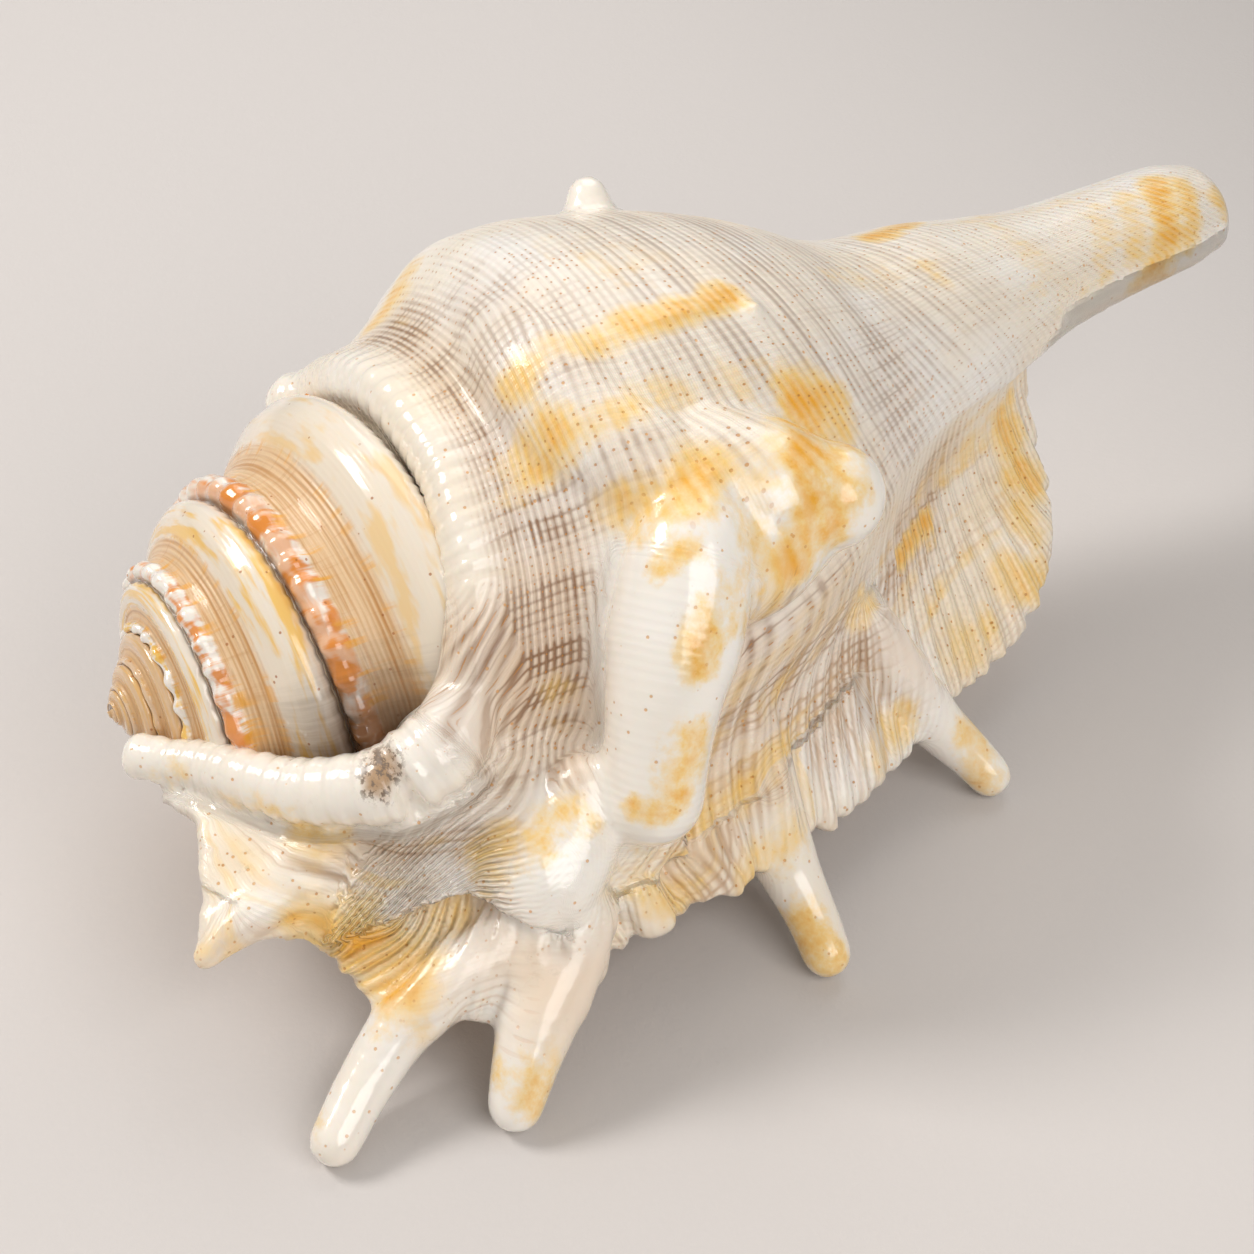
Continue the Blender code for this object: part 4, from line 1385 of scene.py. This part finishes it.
@dataclass(frozen=True)
class ShellFinish:
    """Cream shell with cords and growth lines, stains in patches, and polish on the knobs."""

    cream: Triple = (0.95, 0.865, 0.74)
    white: Triple = (0.97, 0.935, 0.88)
    brown: Triple = (0.27, 0.135, 0.06)
    tan: Triple = (0.70, 0.49, 0.32)
    grey: Triple = (0.46, 0.36, 0.29)
    amber: Triple = (0.90, 0.41, 0.005)
    honey: Triple = (0.98, 0.66, 0.20)
    rust: Triple = (0.58, 0.24, 0.04)
    spot: Triple = (0.72, 0.33, 0.06)
    glaze: Triple = (0.88, 0.70, 0.53)
    soil_and_shade: Triple = (0.15, 0.085, 0.04)
    dust: Triple = (0.42, 0.24, 0.10)
    growth_pitch: float = 1.7
    dot_pitch: float = 1.45
    dot_size: float = 0.15
    cord_sway: float = 1.2
    relief_depth: float = 0.00042

    @staticmethod
    def sway(g: Graph, cord: Wire, growth: Wire) -> Wire:
        """How the pattern wanders sideways, the same for relief and colour."""
        return g.noise(g.vector(cord * 0.05, growth * 0.03, 0.0), 1.0, 1.0)

    def ground(self, g: Graph, p: ShellPattern) -> Wire:
        """Cream and white ground with a warm breath of colour."""
        base = g.mix(g.step(p.cloud, 0.38, 0.62), self.white, self.cream)
        warm = g.step(g.noise(p.place, 21.0, 3.0, 0.6), 0.50, 0.72) * 0.22
        base = g.mix(warm * (1.0 - p.glaze), base, self.honey)
        base = g.mix(p.polish * 0.6, base, self.white)
        return g.mix(p.rim * (0.35 + 0.30 * p.cloud), base, self.cream)

    def woven(self, g: Graph, p: ShellPattern, base: Wire) -> Wire:
        """Brown and grey in the grooves between cords, crossed by growth lines."""
        level = g.maths("MINIMUM", p.tan * 1.15 + 0.15 + p.wing * 0.30 + p.front * 0.15, 1.0)
        veil = g.step(p.streak, 0.34, 0.56) * (0.30 + 0.70 * g.step(p.band, 0.40, 0.56))
        along = p.groove * (0.10 + 0.90 * veil)
        crossing = (1.0 - p.line) ** 3.0
        across = crossing * g.step(p.band, 0.42, 0.60) * (0.35 + 0.65 * g.step(p.shade, 0.35, 0.6))
        weave = g.maths("MINIMUM", (along + across * 0.80 * (1.0 - along)) * 1.25, 1.0)
        wash = p.tan * (0.30 + 0.40 * g.step(p.shade, 0.25, 0.6))
        base = g.mix(wash * p.bare, base, self.tan)
        ink = g.mix(p.wing * 0.75, self.brown, self.tan)
        base = g.mix(weave * level * p.bare * 0.92, base, ink)
        veins = g.step(p.streak, 0.42, 0.56) * (0.15 + 0.85 * p.groove)
        greyed = p.grey * g.maths("MINIMUM", veins * 0.75 + 0.08, 0.80)
        return g.mix(greyed * p.bare, base, self.grey)

    def stained(self, g: Graph, p: ShellPattern, base: Wire) -> Wire:
        """Honey patches with amber hearts, torn along the cords."""
        blot = g.noise(g.vector(p.cord * 0.13, p.lines * 0.20, 1.0), 1.0, 4.0, 0.62) - 0.5
        torn = g.noise(g.vector(p.at_cord * 0.60, p.lines * 0.06, 6.0), 1.0, 3.0, 0.6) - 0.5
        faint = g.step(g.noise(g.vector(p.cord * 0.045, p.growth * 0.04, 12.0)), 0.50, 0.64)
        ring = g.step(g.noise(g.vector(p.growth * 0.17, p.cord * 0.025, 8.0)), 0.48, 0.62)
        amber = g.maths("MAXIMUM", p.amber, (0.26 * faint + p.wing * 0.34 * ring) * p.bare)
        spread = amber + (blot * 1.1 + torn * 0.9) * (1.0 - p.smooth)
        spread = spread + p.wisps * (0.6 + 1.6 * p.smooth)
        patch = g.step(spread, 0.10, 0.80) * g.step(amber, 0.02, 0.30)
        core = g.step(spread, 0.60, 1.25) * g.step(amber, 0.15, 0.55)
        base = g.mix(patch * (0.68 + 0.20 * p.groove), base, self.honey)
        return g.mix(core * (0.62 + 0.30 * p.groove), base, self.amber)

    def dots(self, g: Graph, p: ShellPattern) -> Wire:
        """Brown dots in the grooves: in rows on the whorl, strewn on the lip."""
        row = g.maths("FLOOR", p.at_cord + 0.5)
        chance = g.node("ShaderNodeTexWhiteNoise", {"noise_dimensions": "1D"}, "Value", W=row)
        at_dot = p.growth / self.dot_pitch + chance * 7.0 + p.sway * 2.0
        pick = g.node("ShaderNodeTexWhiteNoise", {"noise_dimensions": "2D"}, "Value",
                      Vector=g.vector(row, g.maths("FLOOR", at_dot), 0.0))
        side = g.maths("PINGPONG", p.at_cord, 0.5) * 1.4
        ahead = (g.maths("FRACT", at_dot) - 0.5) * self.dot_pitch
        apart = g.maths("SQRT", side * side + ahead * ahead)
        size = self.dot_size * (0.75 + 0.6 * pick)
        often = g.step(pick + 0.34 * p.tan + 0.30 * p.shade, 0.88, 0.94)
        on_wing = g.step(p.wing, 0.0, 0.3)
        rows = (1.0 - g.step(apart / size, 0.75, 1.25)) * often * (1.0 - on_wing)
        grains = g.node("ShaderNodeTexVoronoi", {}, "Distance", Vector=p.place, Scale=620.0,
                        Randomness=1.0)
        strewn = (1.0 - g.step(grains, 0.12, 0.20)) * g.step(p.groove, 0.30, 0.60)
        return g.maths("MAXIMUM", rows, strewn * on_wing)

    def soiled(self, g: Graph, p: ShellPattern, base: Wire) -> Wire:
        """Crumbs of dirt where the dirt lies."""
        crumbs = g.step(g.noise(p.place, 700.0, 3.0, 0.7), 0.46, 0.56)
        cover = g.step(p.dirt + crumbs * 0.30 + p.wisps, 0.35, 1.10) * 0.9
        return g.mix(cover, base, g.mix(crumbs, self.dust, self.soil_and_shade))

    def height(self, g: Graph, p: ShellPattern, dots: Wire, specks: Wire) -> Wire:
        """Fine relief: cords, hair lines, growth lines, pits, and a ripple on worn places."""
        hair = g.wave(p.at_cord * 4.0)
        hairline = g.wave(p.at_line * 3.0 + 4.0 * p.sway)
        cords = (0.20 + 0.40 * p.tan + 0.25 * p.wing + 0.8 * p.front) * p.thread
        fine = 0.06 * hair + 0.14 * p.line + 0.05 * hairline + 0.05 * p.rough
        worn = 0.10 * g.noise(p.place, 120.0, 1.0) + 0.08 * p.line + 0.12 * p.rough
        return ((cords + fine - 0.20 * dots) * p.bare + p.rim * (0.10 * p.line + 0.05 * p.rough)
                + 0.05 * p.cloud + p.polish * worn - 0.18 * specks)

    def material(self) -> bpy.types.Material:
        """Build the material, which reads the numbers kept on the mesh."""
        material = bpy.data.materials.new("corded_shell")
        material.use_nodes = True
        g = Graph(material.node_tree)
        p = ShellPattern(g, self)
        dots = self.dots(g, p)
        specks = g.flecks(p.place, 400.0, (0.08, 0.15), (0.30, 0.35))
        base = self.stained(g, p, self.woven(g, p, self.ground(g, p)))
        base = g.mix(dots * p.bare * 0.78, base, self.rust)
        base = g.mix(specks * (1.0 - p.glaze) * 0.70, base, self.spot)
        base = self.soiled(g, p, g.mix(p.glaze * 0.75, base, self.glaze))
        bump = g.node("ShaderNodeBump", {}, "Normal", Strength=1.0, Distance=self.relief_depth,
                      Height=self.height(g, p, dots, specks))
        worn = g.noise(p.place, 140.0)
        roughness = 0.26 + 0.12 * worn - 0.14 * p.smooth - 0.08 * p.glaze + 0.3 * p.dirt
        coat = 0.35 + 0.55 * g.maths("MAXIMUM", p.smooth, p.glaze)
        return g.shaded(material, {
            "Base Color": base, "Roughness": roughness, "Normal": bump, "Coat Weight": coat,
            "Coat Roughness": 0.07, "Subsurface Weight": 0.12, "Subsurface Scale": 0.003,
            "Specular IOR Level": 0.5, "Subsurface Radius": SKIN_DEPTH})


@dataclass(frozen=True)
class SpireFinish:
    """Banded spire: blotched beads, a corded tan ramp and a glossy cream shoulder."""

    white: Triple = (0.92, 0.87, 0.80)
    ramp: Triple = (0.60, 0.31, 0.11)
    thread: Triple = (0.89, 0.66, 0.41)
    shoulder: Triple = (0.88, 0.78, 0.64)
    rose: Triple = (0.86, 0.46, 0.24)
    orange: Triple = (0.80, 0.26, 0.012)
    yellow: Triple = (0.92, 0.55, 0.08)
    apex: Triple = (0.70, 0.43, 0.20)
    rust: Triple = (0.42, 0.13, 0.02)
    # Dark brown of the seams, also used for the painted shade in the crevice under the rear spur.
    soil_and_shade: Triple = (0.10, 0.045, 0.018)
    # Centre of the painted shade in the crevice where the spire runs under the rear spur, in
    # millimetres.
    crevice: Triple = (37.0, 35.0, 48.0)
    cord_pitch: float = 0.95
    relief_depth: float = 0.00022

    def material(self) -> bpy.types.Material:
        """Build the material, which reads the numbers kept on the mesh."""
        material = bpy.data.materials.new("banded_spire")
        material.use_nodes = True
        g = Graph(material.node_tree)
        band, whorl, run, width = (g.attribute(k) for k in ("band", "whorl", "run", "width"))
        place = g.node("ShaderNodeTexCoord", out="Object")
        cords = width / self.cord_pitch
        drift = g.noise(g.vector(cords * 0.2, run * 0.08, 0.0))
        crest = g.wave(cords + drift * 0.6)
        streak = g.noise(g.vector(cords * 0.8, run * 0.03, 4.0), 1.0, 3.0, 0.6)
        wrinkle = g.noise(g.vector(run * 0.9, cords * 0.05, 2.0), 1.0, 3.0, 0.6)
        blot = g.noise(g.vector(run * 0.16, band * 5.0, 7.0), 1.0, 2.0, 0.6)
        patch = g.noise(g.vector(run * 0.07, band * 6.0, 11.0), 1.0, 3.0, 0.6)
        late = g.step(whorl, 1.55, 1.75)
        young = 1.0 - g.step(whorl, 0.55, 0.75)
        edge = band + 0.05 * (wrinkle - 0.5)
        rim = 1.0 - g.step(edge, 0.18, 0.22)
        on_shoulder = g.step(edge + 0.10 * (streak - 0.5), 0.46, 0.56)

        ramp = g.mix(g.step(streak, 0.32, 0.62) * 0.75, self.ramp, self.thread)
        ramp = g.mix(crest**2.0 * 0.60, ramp, self.thread)
        ramp = g.mix(g.step(wrinkle, 0.52, 0.70) * 0.35, ramp, self.ramp)
        glossy = g.mix(g.step(band, 0.70, 0.9) * 0.35, self.shoulder, self.white)
        glossy = g.mix(g.step(patch, 0.47, 0.62) * (0.85 - 0.35 * late), glossy, self.yellow)
        color = g.mix(on_shoulder, ramp, glossy)

        bead = g.mix(late * g.step(patch, 0.42, 0.58) * 0.85, self.white, self.rose)
        blotch = g.mix(young, self.orange, self.yellow)
        bead = g.mix(g.step(blot + 0.3 * (wrinkle - 0.5), 0.46, 0.58) * 0.90, bead, blotch)
        color = g.mix(rim, color, bead)
        ragged = edge + 0.3 * (blot - 0.5)
        above = g.step(edge, 0.14, 0.18) * (1.0 - g.step(ragged, 0.22, 0.32))
        below = g.step(edge, 0.44, 0.47) * (1.0 - g.step(edge, 0.52, 0.56)) * 0.6
        spaced = g.step(g.noise(g.vector(run * 0.30, whorl, 3.0), 1.0, 1.0), 0.50, 0.56)
        dash = spaced * (above + below) * g.step(streak, 0.25, 0.50) * g.step(wrinkle, 0.40, 0.56)
        color = g.mix(dash * 0.85, color, g.mix(0.55, self.orange, self.yellow))

        apex = 1.0 - g.step(whorl, -0.75, -0.45)
        color = g.mix(apex * 0.75, color, self.apex)
        specks = g.flecks(place, 420.0, (0.08, 0.14), (0.62, 0.66))
        color = g.mix(specks * 0.75, color, self.rust)
        seam = 1.0 - g.step(band, 0.004, 0.03) + g.step(band, 0.97, 0.995)
        color = g.mix(seam * 0.75, color, self.soil_and_shade)
        # Painted shade: the colour darkens to dark brown around the crevice under the rear spur.
        centre = tuple(((np.array(self.crevice) - ORIGIN) * MM).tolist())
        away = g.node("ShaderNodeVectorMath", {"operation": "DISTANCE"}, "Value", Vector=place,
                      Vector_001=centre)
        painted_shade = 1.0 - g.step(away + 0.008 * (wrinkle - 0.5), 0.006, 0.024)
        color = g.mix(painted_shade * 0.85, color, self.soil_and_shade)

        matt = (1.0 - on_shoulder) * (1.0 - rim)
        height = (0.55 * crest + 0.25 * wrinkle) * (0.12 + 0.88 * matt) + 0.12 * wrinkle
        bump = g.node("ShaderNodeBump", {}, "Normal", Strength=1.0, Distance=self.relief_depth,
                      Height=height)
        return g.shaded(material, {
            "Base Color": color, "Roughness": 0.18 + 0.20 * matt, "Normal": bump,
            "Coat Weight": 0.85 - 0.5 * matt, "Coat Roughness": 0.06, "Subsurface Weight": 0.12,
            "Subsurface Scale": 0.004, "Subsurface Radius": SKIN_DEPTH})


@dataclass(frozen=True)
class Lamp:
    """A rectangular soft light.

    Attributes:
        name: Name of the light.
        place: Where it hangs, in metres.
        size: Width and height in metres.
        power: Strength in watts.
        colour: Its colour.
    """

    name: str
    place: Triple
    size: Pair
    power: float
    colour: Triple

    def hang(self, aim: Triple) -> None:
        """Hang the light and point it at a place."""
        data = bpy.data.lights.new(self.name, "AREA")
        data.shape, data.size, data.size_y = "RECTANGLE", *self.size
        data.energy, data.color = self.power, self.colour
        lamp = placed(self.name, data)
        lamp.location = self.place
        away = Vector(aim) - Vector(self.place)
        lamp.rotation_euler = away.to_track_quat("-Z", "Y").to_euler()


@dataclass(frozen=True)
class Studio:
    """Pale paper floor, soft lights and the camera."""

    target: Triple = (16.397, 93.06, 40.0)
    azimuth: float = 62.0
    elevation: float = 38.0
    distance: float = 520.0
    lens: float = 81.36
    sensor: float = 36.0
    floor_size: float = 3.0
    paper: Triple = (0.67, 0.64, 0.625)
    # Colour of the paper under the painted shade.
    painted_shade: Triple = (0.34, 0.325, 0.315)
    sky: Triple = (1.0, 0.965, 0.925)
    sky_strength: float = 0.32
    aim: Triple = (0.0, 0.0, 0.04)
    lamps: Sequence[Lamp] = (
        Lamp("window", (-0.46, -0.62, 0.85), (0.40, 0.32), 6.6, (1.0, 0.965, 0.93)),
        Lamp("overhead", (-0.5, 0.35, 0.9), (0.8, 0.8), 2.8, (1.0, 0.98, 0.96)),
        Lamp("front_fill", (0.9, 0.1, 0.7), (0.8, 0.8), 6.0, (1.0, 0.97, 0.94)),
    )

    def camera(self) -> None:
        """Set up the camera at the photograph's angle."""
        turn, rise = np.radians([self.azimuth, self.elevation])
        back = np.array([np.sin(turn) * np.cos(rise), -np.cos(turn) * np.cos(rise), np.sin(rise)])
        centre = (np.array(self.target) - ORIGIN) * MM
        data = bpy.data.cameras.new("camera")
        data.lens, data.sensor_width, data.clip_start = self.lens, self.sensor, 0.01
        camera = placed("camera", data)
        camera.location = centre + back * self.distance * MM
        camera.rotation_euler = Vector(-back).to_track_quat("-Z", "Y").to_euler()
        bpy.context.scene.camera = camera

    def floor(self) -> None:
        """Lay out the seamless, faintly fibrous paper, with painted shade that darkens it away from
        the window.
        """
        half = self.floor_size / 2
        mesh = bpy.data.meshes.new("floor")
        mesh.from_pydata([(-half, -half, 0), (half, -half, 0), (half, half, 0), (-half, half, 0)],
                         [], [(0, 1, 2, 3)])
        material = bpy.data.materials.new("paper")
        material.use_nodes = True
        g = Graph(material.node_tree)
        place = g.node("ShaderNodeTexCoord", out="Object")
        fibre = g.noise(place, 900.0, 4.0, 0.6)
        x, y = (g.node("ShaderNodeSeparateXYZ", out=axis, Vector=place) for axis in "XY")
        # Painted shade: the paper darkens towards +y, standing in for a shadow band beside the
        # shell.
        paper = g.mix(g.step(0.2 * x + 0.9 * y, 0.02, 0.30) * 0.45, self.paper, self.painted_shade)
        bump = g.node("ShaderNodeBump", {}, "Normal", Strength=0.25, Distance=0.0004, Height=fibre)
        g.shaded(material, {"Base Color": paper, "Roughness": 0.9, "Normal": bump})
        mesh.materials.append(material)
        placed("floor", mesh)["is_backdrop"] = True

    def build(self) -> None:
        """Set up the studio."""
        scene = bpy.context.scene
        scene.view_settings.view_transform = "Standard"
        world = bpy.data.worlds.new("studio")
        world.use_nodes = True
        sky = world.node_tree.nodes["Background"]
        sky.inputs["Color"].default_value = (*self.sky, 1)
        sky.inputs["Strength"].default_value = self.sky_strength
        scene.world = world
        self.floor()
        self.camera()
        for lamp in self.lamps:
            lamp.hang(self.aim)


def hold(piece: bpy.types.Object, box: tuple) -> None:
    """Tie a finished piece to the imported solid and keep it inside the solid's box."""
    low, high = (np.array(corner) for corner in box)
    flat = np.empty(len(piece.data.vertices) * 3)
    piece.data.vertices.foreach_get("co", flat)
    kept = np.clip(flat.reshape(-1, 3), low, high)
    piece.data.vertices.foreach_set("co", kept.ravel())
    piece.data.update()
    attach(piece, BODY)
    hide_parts(NODE)
    triangles = sum(len(p.vertices) - 2 for p in piece.data.polygons)
    log.info("%s: %d triangles", piece.name, triangles)


def main() -> None:
    """Build the shell and the studio around it."""
    logging.basicConfig(level=logging.INFO, format="%(name)s: %(message)s")
    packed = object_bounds()
    coil = Coil()
    whorl = BodyWhorl(coil)
    lip = LipSheet(whorl, LIP)
    ledge = LipSheet(whorl, LEDGE, thickness=(8.0, 6.0), crenule_rise=0.4, crenule_pitch=4.4,
                     columns=160, rows=60)
    spire = Spire(coil)
    shell = GrownShell(whorl, lip, ledge, MarginRibs(lip))
    for piece in (spire.build(SpireFinish()), shell.build(ShellFinish())):
        hold(piece, packed)
    Studio().build()


if __name__ == "__main__":
    main()
